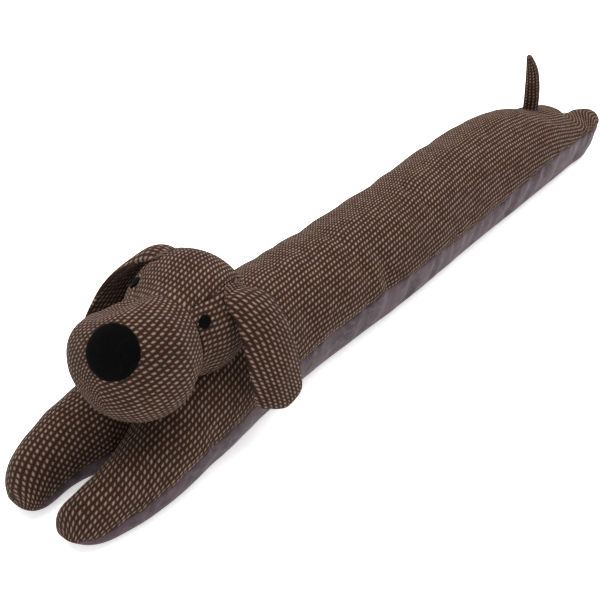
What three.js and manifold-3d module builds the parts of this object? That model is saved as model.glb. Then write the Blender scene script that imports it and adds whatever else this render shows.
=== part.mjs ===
// A stuffed draught excluder in the shape of a long dog, lying on its belly.
// Millimetres, +Z up. The head is at -X, the tail at +X, and the dog's left side at -Y.
// The body is a long filled cushion of two panels: tweed above, velour below, joined by one
// seam at about mid height. Head, ears, nose, eyes and tail are sewn on.

import * as THREE from 'three';
import { mergeVertices } from 'three/addons/utils/BufferGeometryUtils.js';
import Module from 'manifold-3d';

// Gap that neighbouring pieces keep, and how far a cutting copy is grown past its piece.
const GAP = 0.3;
const GROWN = 0.4;
// Corners closer than this are one corner, and a triangle with less area than this is left out.
const MERGE = 1e-4;
const LEAST_AREA = 1e-5;
// Step along a middle line, as a share of its length, over which its direction is taken.
const SHARE_STEP = 0.02;

// Cross sections of the body: middle and half width in plan, heights of the seam and the crown.
const BODY = [
  { x: -450, middle: 4, half: 54, seam: 16, crown: 46 },
  { x: -425, middle: 5, half: 60, seam: 18, crown: 63 },
  { x: -390, middle: 4, half: 69, seam: 28, crown: 83 },
  { x: -350, middle: 1, half: 70, seam: 37, crown: 94 },
  { x: -300, middle: 0, half: 68, seam: 43, crown: 100 },
  { x: -250, middle: 2, half: 65, seam: 45, crown: 107 },
  { x: -180, middle: 3, half: 61, seam: 49, crown: 107 },
  { x: -100, middle: 0, half: 60, seam: 54, crown: 104 },
  { x: -20, middle: -1, half: 61, seam: 53, crown: 104 },
  { x: 60, middle: 1, half: 61, seam: 50, crown: 105 },
  { x: 140, middle: 3, half: 62, seam: 51, crown: 107 },
  { x: 220, middle: 2, half: 62, seam: 57, crown: 105 },
  { x: 280, middle: 0, half: 59, seam: 59, crown: 97 },
  { x: 335, middle: -3, half: 54, seam: 55, crown: 81 },
  { x: 385, middle: -5, half: 49, seam: 48, crown: 66 },
  { x: 430, middle: -6, half: 43, seam: 42, crown: 55 },
];

// Limbs: tip, length of the rounded tip, middle of the tip, gap from the slit's line at the
// tip and how far it bows out midway, and crown of the limb above its seam.
const PAWS = {
  left: { tip: -453, round: 36, middle: -26, part: 0, bow: 9, crown: 32 },
  right: { tip: -457, round: 40, middle: 31, part: 3, bow: 14, crown: 36 },
};
const FEET = {
  left: { tip: 438, round: 50, middle: -31, part: 6, bow: 0, crown: 20 },
  right: { tip: 417, round: 50, middle: 17, part: 6, bow: 0, crown: 15 },
};
// Slits between the limbs: end of the slit, its line, and how far the valley runs past it.
const FRONT_SLIT = { end: -375, line: -4, valley: 58 };
const REAR_SLIT = { end: 408, line: -6, valley: 50 };

// Share of the half width that lies flat on the floor, under the body and under a limb.
const BODY_FLAT = 0.55;
const LIMB_FLAT = 0.35;
// Power of the tip's rounding with which a limb's underside lifts off the floor.
const TIP_LIFT = 2.5;
// Power of the limbs' blunt tips: 2 is an ellipse, and more is squarer.
const BLUNTNESS = 2.5;
const STATION_STEP = 17;
const LIMB_STATIONS = 9;
const HALF_STEPS = 12;

// Head: two rounded masses, the skull and the muzzle, on one axis that points at the nose.
// Each section gives its half width, and its height above and depth below the axis.
const SKULL = new THREE.Vector3(-278, 0, 122);
const SKULL_HALF = 54;
const MUZZLE = new THREE.Vector3(-349, -14, 131);
const HEAD_SECTIONS = [
  { along: -52, wide: 0, over: 0, under: 0 },
  { along: -46, wide: 23, over: 23, under: 23 },
  { along: -34, wide: 39, over: 39, under: 39 },
  { along: -16, wide: 50, over: 51, under: 51 },
  { along: 4, wide: SKULL_HALF, over: 54.5, under: 55 },
  { along: 22, wide: 51, over: 51, under: 53 },
  { along: 40, wide: 45, over: 48, under: 46 },
  { along: 58, wide: 49, over: 50, under: 49 },
  { along: 76, wide: 55, over: 53, under: 54 },
  { along: 94, wide: 50, over: 49, under: 51 },
  { along: 108, wide: 39.5, over: 39, under: 41 },
  { along: 118, wide: 26, over: 26, under: 27 },
  { along: 123, wide: 12, over: 12, under: 12 },
  { along: 124.5, wide: 0, over: 0, under: 0 },
];
const HEAD_BACK = HEAD_SECTIONS[0].along;
const HEAD_FRONT = HEAD_SECTIONS[HEAD_SECTIONS.length - 1].along;
// The muzzle seam, as distances along the axis: at the sides, and at the brow and the throat.
const MUZZLE_SEAM = { side: 43, brow: 52 };
// Where the right of the brow is drawn in: share of the radius, middle and spread of the angle
// in degrees, and middle and spread along the axis.
const BROW_DENT = { depth: 0.34, angle: 120, turn: 35, along: 70, reach: 36 };
const HEAD_RING = 44;
const HEAD_STEPS = 18;

// Cheek panels: a block that reaches in from the side behind the muzzle and under the brow.
const CHEEK = { ahead: 58, below: 34, inset: 17, length: 88, height: 104, depth: 60, lean: 6 };

// Nose and eye patches: where they face, their radius and their thickness. The nose's middle
// is that far from the middle of the muzzle, and the discs that cut them out are that long.
const NOSE = { facing: new THREE.Vector3(-0.7, -0.36, 0.65), reach: 50, radius: 21.5, thick: 2 };
const PATCH_DISC = { length: 40, sides: 36 };
const EYES = {
  left: { place: new THREE.Vector3(-303, -46, 150), radius: 5.6 },
  right: { place: new THREE.Vector3(-309, 30, 156), radius: 5.6 },
};
const EYE_THICK = 1.6;

// Ears: sections from the sewn root to the tip. Front and back edge of the flap, and how far
// its middle bulges outward between them.
const EARS = {
  left: [
    { frontX: -279, frontY: -22, frontZ: 146, backX: -252, backY: -22, backZ: 141, bulge: 0 },
    { frontX: -281, frontY: -46, frontZ: 152, backX: -241, backY: -52, backZ: 146, bulge: 3 },
    { frontX: -283, frontY: -64, frontZ: 134, backX: -237, backY: -70, backZ: 128, bulge: 5 },
    { frontX: -287, frontY: -75, frontZ: 106, backX: -235, backY: -80, backZ: 101, bulge: 5 },
    { frontX: -286, frontY: -80, frontZ: 76, backX: -234, backY: -85, backZ: 66, bulge: 4 },
    { frontX: -281, frontY: -82, frontZ: 56, backX: -236, backY: -86, backZ: 45, bulge: 3 },
  ],
  right: [
    { frontX: -288, frontY: 12, frontZ: 158, backX: -256, backY: 14, backZ: 152, bulge: 0 },
    { frontX: -287, frontY: 38, frontZ: 162, backX: -256, backY: 43, backZ: 156, bulge: 3 },
    { frontX: -299, frontY: 57, frontZ: 150, backX: -258, backY: 60, backZ: 142, bulge: 3 },
    { frontX: -316, frontY: 66, frontZ: 136, backX: -268, backY: 67, backZ: 122, bulge: 2 },
    { frontX: -328, frontY: 73, frontZ: 114, backX: -281, backY: 70, backZ: 99, bulge: 2 },
    { frontX: -339, frontY: 81, frontZ: 83, backX: -296, backY: 74, backZ: 72, bulge: 2 },
  ],
};
const EAR_THICK = 8;
const EAR_EDGE = 2.4;
// Share of an ear's length where its rounded corners start, and where its last section lies.
const EAR_ROUNDED = 0.84;
const TIP_SHARE = 0.995;
const EAR_STEPS = { along: 20, across: 10 };
// Power of the share of the half width that the flap's thickness falls off with.
const EAR_FULLNESS = 1.5;

// Tail: sections from inside the rump to the tip.
const TAIL = [
  { x: 338, y: 13, z: 66, radius: 9.6 },
  { x: 337, y: 13, z: 88, radius: 9.6 },
  { x: 333, y: 13, z: 111, radius: 9.2 },
  { x: 325, y: 13, z: 135, radius: 7.4 },
  { x: 312, y: 14, z: 158, radius: 3 },
];
const TAIL_RING = 14;
const TAIL_STEPS = 16;

const TWEED = { color: 0x5f4c40, roughness: 0.95, metalness: 0 };
const VELOUR = { color: 0x68585c, roughness: 0.9, metalness: 0 };
const FELT = { color: 0x0d0c0d, roughness: 0.95, metalness: 0 };

const wasm = await Module();
wasm.setup();

// Smooth value of one column of a table at a place, with an even slope through each row.
function along(table, key, column, place) {
  const last = table.length - 1;
  let row = 0;
  while (row < last - 1 && place > table[row + 1][key]) row += 1;
  const from = table[row];
  const to = table[row + 1];
  const span = to[key] - from[key];
  const slope = (index) => {
    const before = table[Math.max(index - 1, 0)];
    const after = table[Math.min(index + 1, last)];
    return (after[column] - before[column]) / (after[key] - before[key]);
  };
  const t = THREE.MathUtils.clamp((place - from[key]) / span, 0, 1);
  const t2 = t * t;
  const t3 = t2 * t;
  return (
    (2 * t3 - 3 * t2 + 1) * from[column] +
    (t3 - 2 * t2 + t) * span * slope(row) +
    (3 * t2 - 2 * t3) * to[column] +
    (t3 - t2) * span * slope(row + 1)
  );
}

// Height of an arch over the share -1 to 1 of its half width.
function arch(share) {
  return Math.sqrt(Math.max(0, 1 - share * share));
}

// The same for the blunt tip of a limb, over the share 0 to 1 of its rounded length.
function blunt(share) {
  return Math.pow(1 - Math.pow(Math.min(share, 1), BLUNTNESS), 1 / BLUNTNESS);
}

// Fullness of the belly over the share 0 to 1 from its middle to the seam: flat, then round.
function belly(share, flat) {
  return arch(Math.max(0, share - flat) / (1 - flat));
}

// One half of the body at x: side is -1 for the left half and 1 for the right half. It gives
// the plan of the half, and how far the limbs have parted there, from 0 to 1.
function halfSection(x, side) {
  const name = side < 0 ? 'left' : 'right';
  const front = x < 0;
  const limb = front ? PAWS[name] : FEET[name];
  const slit = front ? FRONT_SLIT : REAR_SLIT;
  const body = {
    middle: along(BODY, 'x', 'middle', x),
    half: along(BODY, 'x', 'half', x),
    seam: along(BODY, 'x', 'seam', x),
    crown: along(BODY, 'x', 'crown', x),
  };
  const toTip = Math.abs(limb.tip - x);
  const rounding = blunt(Math.max(0, 1 - toTip / limb.round));
  const pastSlit = front ? slit.end - x : x - slit.end;
  const parted = THREE.MathUtils.smoothstep(pastSlit, -slit.valley, 0);
  const opening = THREE.MathUtils.clamp(pastSlit / Math.abs(limb.tip - slit.end), 0, 1);
  const outerPlan = body.middle + side * body.half;
  const parting = limb.part * opening + limb.bow * Math.sin(Math.PI * opening);
  const innerPlan = slit.line + side * parting;
  const open = pastSlit > 0;
  const centre = THREE.MathUtils.lerp(body.middle, slit.line, parted);
  const towards = (y) => limb.middle + (y - limb.middle) * rounding;
  return {
    ...body,
    limb,
    parted,
    rounding,
    open,
    outer: towards(outerPlan),
    inner: open ? towards(innerPlan) : centre,
    centre,
  };
}

// Point of the half section at share s from its outer seam (0) to its inner edge (1), on the
// upper (1) or the lower (-1) panel.
function bodyPoint(x, side, s, panel, grow) {
  const half = halfSection(x, side);
  const bodySpread = 1 - Math.cos((s * Math.PI) / 2);
  const limbSpread = (1 - Math.cos(s * Math.PI)) / 2;
  const spread = THREE.MathUtils.lerp(bodySpread, limbSpread, half.parted);
  const y = THREE.MathUtils.lerp(half.outer, half.inner, spread);
  const bodyShare = THREE.MathUtils.clamp((half.centre - y) / (half.centre - half.outer), 0, 1);
  const pawMiddle = (half.outer + half.inner) / 2;
  const pawHalf = Math.max(Math.abs(half.outer - half.inner) / 2, MERGE);
  const limbShare = THREE.MathUtils.clamp((y - pawMiddle) / pawHalf, -1, 1);
  let z;
  if (panel > 0) {
    const bodyRise = (half.crown - half.seam) * arch(bodyShare);
    const limbRise = half.limb.crown * arch(limbShare) * half.rounding;
    z = half.seam + THREE.MathUtils.lerp(bodyRise, limbRise, half.parted);
  } else {
    const bodyDrop = belly(bodyShare, BODY_FLAT);
    const limbDrop = belly(Math.abs(limbShare), LIMB_FLAT) * half.rounding ** TIP_LIFT;
    z = half.seam * (1 - THREE.MathUtils.lerp(bodyDrop, limbDrop, half.parted));
  }
  const outward = side * grow * half.rounding * Math.cos(s * Math.PI * (half.open ? 1 : 0.5));
  const endward = half.rounding === 0 ? Math.sign(x) * grow : 0;
  return new THREE.Vector3(x + endward, y + outward, z + panel * grow);
}

// Places of the stations of one half, from the paw's tip to the foot's tip. Stations between
// the two slits are shared by both halves.
function stations(side) {
  const name = side < 0 ? 'left' : 'right';
  const limbPlaces = (tip, end) =>
    Array.from({ length: LIMB_STATIONS }, (_, i) => {
      const share = 1 - Math.cos((i / LIMB_STATIONS) * (Math.PI / 2));
      return THREE.MathUtils.lerp(tip, end, share);
    });
  const length = REAR_SLIT.end - FRONT_SLIT.end;
  const count = Math.round(length / STATION_STEP);
  const shared = Array.from({ length: count + 1 }, (_, i) => FRONT_SLIT.end + (length * i) / count);
  return [
    ...limbPlaces(PAWS[name].tip, FRONT_SLIT.end),
    ...shared,
    ...limbPlaces(FEET[name].tip, REAR_SLIT.end).reverse(),
  ];
}

// Closed geometry from a list of triangles given as corner points.
function solidFromTriangles(triangles) {
  const positions = new Float32Array(triangles.length * 9);
  triangles.forEach((triangle, index) => {
    triangle.forEach((corner, c) => corner.toArray(positions, index * 9 + c * 3));
  });
  const geometry = new THREE.BufferGeometry();
  geometry.setAttribute('position', new THREE.BufferAttribute(positions, 3));
  return mergeVertices(geometry, MERGE);
}

// Adds the two triangles of a quad, leaving out any that has shrunk to a line.
function addQuad(triangles, a, b, c, d, flip) {
  const add = (p, q, r) => {
    const area = new THREE.Vector3().subVectors(q, p).cross(new THREE.Vector3().subVectors(r, p));
    if (area.length() > LEAST_AREA) triangles.push(flip ? [p, r, q] : [p, q, r]);
  };
  add(a, b, c);
  add(a, c, d);
}

// One body panel with its filling: the curved skin, closed by the level face along the seam.
// Between the slits both halves share the left half's points on the centre line.
function bodyPanel(panel, grow) {
  const triangles = [];
  for (const side of [-1, 1]) {
    const places = stations(side);
    const rows = places.map((x) => {
      const lift = (panel * GAP) / 2;
      const half = halfSection(x, side);
      const skin = Array.from({ length: HALF_STEPS + 1 }, (_, i) => {
        const shared = i === HALF_STEPS && !half.open;
        const point = bodyPoint(x, shared ? -1 : side, i / HALF_STEPS, panel, grow);
        point.z += lift;
        return point;
      });
      const level = half.seam + lift + panel * grow;
      const pinched = half.parted === 1;
      skin[0].z = level;
      if (pinched) skin[HALF_STEPS].z = level;
      const top = skin[HALF_STEPS];
      const inner = pinched ? top : new THREE.Vector3(top.x, top.y, level);
      const seam = [skin[0], inner];
      return { skin, seam };
    });
    const flip = side * panel < 0;
    for (let k = 0; k + 1 < rows.length; k += 1) {
      const here = rows[k];
      const next = rows[k + 1];
      for (let i = 0; i < HALF_STEPS; i += 1) {
        addQuad(triangles, here.skin[i], here.skin[i + 1], next.skin[i + 1], next.skin[i], flip);
      }
      addQuad(triangles, here.seam[0], next.seam[0], next.seam[1], here.seam[1], flip);
    }
  }
  return solidFromTriangles(triangles);
}

// Skin over rings of points, closed by a fan at a ring that is a single point.
function ringSolid(rings) {
  const triangles = [];
  for (let k = 0; k + 1 < rings.length; k += 1) {
    const here = rings[k];
    const next = rings[k + 1];
    here.forEach((_, i) => {
      const j = (i + 1) % here.length;
      addQuad(triangles, here[i], here[j], next[j], next[i], false);
    });
  }
  return solidFromTriangles(triangles);
}

const HEAD_FORWARD = new THREE.Vector3().subVectors(MUZZLE, SKULL).normalize();
const UP = new THREE.Vector3(0, 0, 1);
const HEAD_LEFT = new THREE.Vector3().crossVectors(UP, HEAD_FORWARD).normalize();
const HEAD_UP = new THREE.Vector3().crossVectors(HEAD_FORWARD, HEAD_LEFT);

// Point of the head at a distance along its axis, to its left and up.
function headPoint(forward, left, up) {
  return SKULL.clone()
    .addScaledVector(HEAD_FORWARD, forward)
    .addScaledVector(HEAD_LEFT, left)
    .addScaledVector(HEAD_UP, up);
}

// Point of the head's skin at a distance along its axis and an angle round it, 0 at the left.
function headSkin(place, angle, grow) {
  const past = THREE.MathUtils.radToDeg(angle) - BROW_DENT.angle;
  const turn = THREE.MathUtils.euclideanModulo(past + 180, 360) - 180;
  const fade = (turn / BROW_DENT.turn) ** 2 + ((place - BROW_DENT.along) / BROW_DENT.reach) ** 2;
  const full = 1 - BROW_DENT.depth * Math.exp(-fade);
  const size = (column) => {
    const value = along(HEAD_SECTIONS, 'along', column, place) * full;
    return value > MERGE ? value + grow : 0;
  };
  const rise = Math.sin(angle);
  const tall = size(rise > 0 ? 'over' : 'under');
  return headPoint(place, size('wide') * Math.cos(angle), tall * rise);
}

// Distance along the axis of the muzzle seam, at an angle round it.
function seamAlong(angle) {
  return THREE.MathUtils.lerp(MUZZLE_SEAM.side, MUZZLE_SEAM.brow, Math.sin(angle) ** 2);
}

// Rings of the head's skin between two distances along the axis, each a function of the angle.
function headRings(from, to, grow) {
  return Array.from({ length: HEAD_STEPS + 1 }, (_, k) => {
    const share = (1 - Math.cos((k / HEAD_STEPS) * Math.PI)) / 2;
    return Array.from({ length: HEAD_RING }, (_, i) => {
      const angle = (i / HEAD_RING) * 2 * Math.PI;
      return headSkin(THREE.MathUtils.lerp(from(angle), to(angle), share), angle, grow);
    });
  });
}

// A ring that is one point on the head's axis.
function axisRing(place) {
  return Array.from({ length: HEAD_RING }, () => headPoint(place, 0, 0));
}

// The whole head, as one form that is grown past its skin.
function headForm(grow) {
  const behind = headRings(() => HEAD_BACK, seamAlong, grow);
  const ahead = headRings(seamAlong, () => HEAD_FRONT, grow);
  const ends = [axisRing(HEAD_BACK - grow), axisRing(HEAD_FRONT + grow)];
  return ringSolid([ends[0], ...behind.slice(1), ...ahead.slice(1, -1), ends[1]]);
}

// The stuffed skull, closed at the muzzle seam, and the stuffed muzzle in front of it.
function skullForm() {
  const rings = headRings(() => HEAD_BACK, (angle) => seamAlong(angle) - GAP / 2, 0);
  return ringSolid([...rings, axisRing(MUZZLE_SEAM.side - GAP / 2)]);
}

function muzzleForm() {
  const rings = headRings((angle) => seamAlong(angle) + GAP / 2, () => HEAD_FRONT, 0);
  return ringSolid([axisRing(MUZZLE_SEAM.side + GAP / 2), ...rings]);
}

// Flap of an ear: a soft slab between its front and back edges, bulged outward across its
// width, thin at its rim and rounded at the tip.
function earFlap(rows) {
  const table = rows.map((row, index) => ({ ...row, share: index / (rows.length - 1) }));
  const edge = (name, share) => {
    const [x, y, z] = ['X', 'Y', 'Z'].map((axis) => along(table, 'share', name + axis, share));
    return new THREE.Vector3(x, y, z);
  };
  const middle = (share) => edge('front', share).lerp(edge('back', share), 0.5);
  const outward = Math.sign(rows[0].frontY);
  const ring = (share) => {
    const width = new THREE.Vector3().subVectors(edge('back', share), edge('front', share));
    const lengthWay = new THREE.Vector3().subVectors(
      middle(Math.min(share + SHARE_STEP, 1)),
      middle(Math.max(share - SHARE_STEP, 0)),
    );
    const normal = new THREE.Vector3().crossVectors(width, lengthWay).normalize();
    const corner = blunt(Math.max(0, (share - EAR_ROUNDED) / (1 - EAR_ROUNDED)));
    const bulge = outward * along(table, 'share', 'bulge', share);
    const offset = (u, face) => {
      const fill = arch(Math.pow(Math.abs(u), EAR_FULLNESS)) * corner;
      const thick = EAR_EDGE / 2 + ((EAR_THICK - EAR_EDGE) / 2) * fill;
      return middle(share)
        .addScaledVector(width, (u * corner) / 2)
        .addScaledVector(normal, bulge * (1 - u * u) + face * thick);
    };
    const shares = Array.from({ length: EAR_STEPS.across + 1 }, (_, i) => (2 * i) / EAR_STEPS.across - 1);
    return [...shares.map((u) => offset(u, 1)), ...shares.reverse().map((u) => offset(u, -1))];
  };
  const steps = EAR_STEPS.along - 1;
  const rings = Array.from({ length: steps + 1 }, (_, i) => ring(Math.min(i / steps, TIP_SHARE)));
  const cap = (points) => {
    const centre = new THREE.Vector3();
    points.forEach((point) => centre.add(point));
    centre.divideScalar(points.length);
    return points.map(() => centre.clone());
  };
  return ringSolid([cap(rings[0]), ...rings, cap(rings[rings.length - 1])]);
}

function tailForm() {
  const table = TAIL.map((row, index) => ({ ...row, share: index / (TAIL.length - 1) }));
  const at = (column, share) => along(table, 'share', column, share);
  const middle = (share) => new THREE.Vector3(at('x', share), at('y', share), at('z', share));
  const ring = (share, radius) => {
    const ahead = middle(Math.min(share + SHARE_STEP, 1));
    const way = new THREE.Vector3().subVectors(ahead, middle(share - SHARE_STEP));
    const across = new THREE.Vector3(0, 1, 0);
    const other = new THREE.Vector3().crossVectors(way, across).normalize();
    return Array.from({ length: TAIL_RING }, (_, i) => {
      const angle = (i / TAIL_RING) * 2 * Math.PI;
      return middle(share)
        .addScaledVector(across, radius * Math.cos(angle))
        .addScaledVector(other, radius * Math.sin(angle));
    });
  };
  const rings = Array.from({ length: TAIL_STEPS + 1 }, (_, i) => {
    const share = i / TAIL_STEPS;
    return ring(share, at('radius', share));
  });
  return ringSolid([ring(0, 0), ...rings, ring(1, 0)]);
}

// Thin round patch on the head's skin: a disc pushed in along its own facing.
function patch(centre, facing, radius, thick) {
  const disc = new THREE.CylinderGeometry(radius, radius, PATCH_DISC.length, PATCH_DISC.sides);
  const turn = new THREE.Quaternion().setFromUnitVectors(new THREE.Vector3(0, 1, 0), facing);
  disc.applyQuaternion(turn);
  disc.translate(centre.x, centre.y, centre.z);
  const outside = manifold(headForm(GROWN + thick));
  return manifold(disc).intersect(outside).subtract(manifold(headForm(GROWN)));
}

// Solid for joining and cutting, from a closed geometry.
function manifold(geometry) {
  const bare = geometry.clone();
  bare.deleteAttribute('normal');
  bare.deleteAttribute('uv');
  const merged = mergeVertices(bare, MERGE);
  const vertProperties = new Float32Array(merged.attributes.position.array);
  const triVerts = new Uint32Array(merged.index.array);
  return new wasm.Manifold(new wasm.Mesh({ numProp: 3, vertProperties, triVerts }));
}

function geometryOf(solid) {
  const mesh = solid.getMesh();
  const geometry = new THREE.BufferGeometry();
  geometry.setAttribute('position', new THREE.BufferAttribute(new Float32Array(mesh.vertProperties), 3));
  geometry.setIndex(new THREE.BufferAttribute(new Uint32Array(mesh.triVerts), 1));
  return geometry;
}

// Block that takes a cheek out of the skull: up to the muzzle seam and below the brow.
function cheekBlock(side, grow) {
  const grownDepth = CHEEK.depth + grow;
  const block = new THREE.BoxGeometry(CHEEK.length + 2 * grow, grownDepth, CHEEK.height + 2 * grow);
  block.rotateX(THREE.MathUtils.degToRad(CHEEK.lean) * -side);
  const forward = CHEEK.ahead - CHEEK.length / 2;
  const outward = side * (SKULL_HALF - CHEEK.inset + grownDepth / 2 - grow);
  const up = CHEEK.below - CHEEK.height / 2;
  const basis = new THREE.Matrix4().makeBasis(HEAD_FORWARD, HEAD_LEFT, HEAD_UP);
  const place = headPoint(forward, outward, up);
  block.applyMatrix4(basis);
  block.translate(place.x, place.y, place.z);
  return manifold(block);
}

const group = new THREE.Group();

function addPiece(name, geometry, finish) {
  const mesh = new THREE.Mesh(geometry, new THREE.MeshStandardMaterial(finish));
  mesh.name = name;
  group.add(mesh);
}

const bodyGrown = manifold(bodyPanel(1, GROWN)).add(manifold(bodyPanel(-1, GROWN)));
const headGrown = manifold(headForm(GROWN));
const skull = manifold(skullForm()).subtract(bodyGrown);
const muzzle = manifold(muzzleForm()).subtract(bodyGrown);
const crown = skull.subtract(cheekBlock(-1, GAP)).subtract(cheekBlock(1, GAP));

addPiece('body_top', bodyPanel(1, 0), TWEED);
addPiece('body_underside', bodyPanel(-1, 0), VELOUR);
addPiece('head_crown', geometryOf(crown), TWEED);
addPiece('muzzle', geometryOf(muzzle), TWEED);
for (const [name, side] of [['left', 1], ['right', -1]]) {
  addPiece(`cheek_${name}`, geometryOf(skull.intersect(cheekBlock(side, 0))), TWEED);
}

const noseFacing = NOSE.facing.clone().normalize();
const noseCentre = MUZZLE.clone().addScaledVector(noseFacing, NOSE.reach);
addPiece('nose', geometryOf(patch(noseCentre, noseFacing, NOSE.radius, NOSE.thick)), FELT);
for (const [name, eye] of Object.entries(EYES)) {
  const facing = new THREE.Vector3().subVectors(eye.place, SKULL).normalize();
  addPiece(`eye_${name}`, geometryOf(patch(eye.place, facing, eye.radius, EYE_THICK)), FELT);
}
for (const [name, rows] of Object.entries(EARS)) {
  const flap = manifold(earFlap(rows)).subtract(headGrown).subtract(bodyGrown);
  addPiece(`ear_${name}`, geometryOf(flap), TWEED);
}
addPiece('tail', geometryOf(manifold(tailForm()).subtract(bodyGrown)), TWEED);

// The part stands on its flat belly, with the middle of its footprint at the origin.
const box = new THREE.Box3().setFromObject(group);
const middle = box.getCenter(new THREE.Vector3());
group.position.set(-middle.x, -middle.y, -box.min.z);

export default group;
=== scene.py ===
"""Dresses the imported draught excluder: a stuffed, dog shaped cushion of tweed over a velour underside.

The shapes are worked out in the maker's frame, in millimetres: +Z up, the head at -X, the tail at
+X and the dog's left side at -Y. One function moves them to the row frame, in metres.
"""

import logging
import math
from collections.abc import Callable
from dataclasses import dataclass, field
from enum import Enum

import bmesh
import bpy
import numpy as np
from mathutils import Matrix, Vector


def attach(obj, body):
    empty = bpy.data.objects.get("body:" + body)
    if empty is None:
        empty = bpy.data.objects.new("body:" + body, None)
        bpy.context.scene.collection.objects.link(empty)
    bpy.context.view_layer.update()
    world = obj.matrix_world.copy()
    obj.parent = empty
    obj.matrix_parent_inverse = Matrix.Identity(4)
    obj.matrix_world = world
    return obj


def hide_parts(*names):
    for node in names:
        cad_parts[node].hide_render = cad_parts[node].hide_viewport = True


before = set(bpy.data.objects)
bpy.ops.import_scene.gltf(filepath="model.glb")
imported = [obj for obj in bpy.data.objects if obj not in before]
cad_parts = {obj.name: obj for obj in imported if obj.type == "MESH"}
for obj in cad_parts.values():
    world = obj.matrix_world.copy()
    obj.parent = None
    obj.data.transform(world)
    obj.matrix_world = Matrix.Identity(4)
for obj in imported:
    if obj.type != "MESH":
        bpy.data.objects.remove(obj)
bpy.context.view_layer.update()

LOG = logging.getLogger("draught_excluder")

# From the maker's frame to the row frame: the shift in millimetres, and millimetres in metres.
ROW_SHIFT = np.array([9.5, 4.622, 0.15])
MM = 0.001
# Gap between neighbouring pieces, in millimetres.
GAP = 0.3
# Repeat of the tweed's check, in millimetres, measured along and across the cloth.
CHECK_REPEAT = 4.66
UPRIGHT = np.array([0.0, 0.0, 1.0])

Piece = bpy.types.Object
Material = bpy.types.Material
Socket = bpy.types.NodeSocket
# What a node's input takes: a linked socket, a number, or the parts of a place or colour.
Value = Socket | float | tuple[float, ...]
# How far a skin is drawn in, from the distance along the head's axis and the angle round it.
Inset = Callable[[np.ndarray, np.ndarray], np.ndarray]


class Slot(Enum):
    """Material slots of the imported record."""

    TWEED = "tweed"
    VELOUR = "velour"
    FELT = "felt"


class Side(Enum):
    """Side of the dog, as the sign of Y in the maker's frame."""

    LEFT = -1
    RIGHT = 1


def to_row(points: np.ndarray) -> np.ndarray:
    """Moves points from the maker's frame in millimetres to the row frame in metres."""
    return (points + ROW_SHIFT) * MM


def to_maker(points: np.ndarray) -> np.ndarray:
    """Moves points from the row frame in metres to the maker's frame in millimetres."""
    return points / MM - ROW_SHIFT


def smooth(value: np.ndarray, low: float, high: float) -> np.ndarray:
    """Smooth step: 0 below low, 1 above high, with level ends.

    Args:
        value: Values to step.
        low: Where the step starts.
        high: Where it ends.

    Returns:
        The step's share at each value.
    """
    t = np.clip((value - low) / (high - low), 0.0, 1.0)
    return t * t * (3.0 - 2.0 * t)


def blend(first: np.ndarray, second: np.ndarray, share: np.ndarray) -> np.ndarray:
    """Straight mix: the first where share is 0, the second where it is 1."""
    return first + (second - first) * share


def arch(share: np.ndarray) -> np.ndarray:
    """Height of a half ellipse over the share -1 to 1 of its half width."""
    return np.sqrt(np.clip(1.0 - share * share, 0.0, None))


def unit(vectors: np.ndarray) -> np.ndarray:
    """Vectors scaled to length one along the last axis."""
    return vectors / np.maximum(np.linalg.norm(vectors, axis=-1, keepdims=True), 1e-12)


def bell(away: np.ndarray, width: float) -> np.ndarray:
    """Bell curve of a distance: 1 at none, about a third at the width, nothing far off."""
    return np.exp(-((away / width) ** 2))


def plane_across(facing: np.ndarray) -> tuple[np.ndarray, np.ndarray]:
    """Two directions across a facing direction: the first level, the second square to it."""
    side = unit(np.cross(facing, UPRIGHT))
    return side, np.cross(facing, side)


def along(table: np.ndarray, place: np.ndarray, column: int) -> np.ndarray:
    """Smooth value of a table's column at a place: a cubic through each row with an even slope.

    Args:
        table: Rows in rising order of their first column.
        place: Places on the first column.
        column: Column to read.

    Returns:
        The column's value at each place.
    """
    keys, values = table[:, 0], table[:, column]
    last = len(keys) - 1
    before, after = np.maximum(np.arange(last + 1) - 1, 0), np.minimum(np.arange(last + 1) + 1, last)
    slopes = (values[after] - values[before]) / (keys[after] - keys[before])
    row = np.clip(np.searchsorted(keys, place, side="left") - 1, 0, last - 1)
    span = keys[row + 1] - keys[row]
    t = np.clip((place - keys[row]) / span, 0.0, 1.0)
    t2, t3 = t * t, t * t * t
    return (
        (2 * t3 - 3 * t2 + 1) * values[row]
        + (t3 - 2 * t2 + t) * span * slopes[row]
        + (3 * t2 - 2 * t3) * values[row + 1]
        + (t3 - t2) * span * slopes[row + 1]
    )


def point_along(table: np.ndarray, place: np.ndarray, first: int) -> np.ndarray:
    """Smooth point at a place on a table's line, whose x, y and z start at the first column."""
    return np.stack([along(table, place, column) for column in range(first, first + 3)], axis=-1)


def way_along(line: Callable[[np.ndarray], np.ndarray], share: np.ndarray) -> np.ndarray:
    """Way that a line runs at each share of its length, from the points just before and after."""
    step = 0.02
    return line(np.minimum(share + step, 1.0)) - line(np.maximum(share - step, 0.0))


def soft_noise(points: np.ndarray, wave: float, seed: int, waves: int = 28) -> np.ndarray:
    """Smooth noise between about -1 and 1: a mean of cosine waves in random directions.

    Args:
        points: Places in millimetres, the last axis holding x, y and z.
        wave: Typical length of one wave in millimetres.
        seed: Seed of the random directions, lengths and starts.
        waves: How many waves are added.

    Returns:
        The noise at each place.
    """
    random = np.random.default_rng(seed)
    ways = unit(random.normal(size=(waves, 3)))
    counts = 2.0 * math.pi / (wave * random.uniform(0.7, 1.4, size=waves))
    starts = random.uniform(0.0, 2.0 * math.pi, size=waves)
    total = np.cos(points @ (ways * counts[:, None]).T + starts).sum(axis=-1)
    return total * math.sqrt(2.0 / waves) * 0.5


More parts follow.
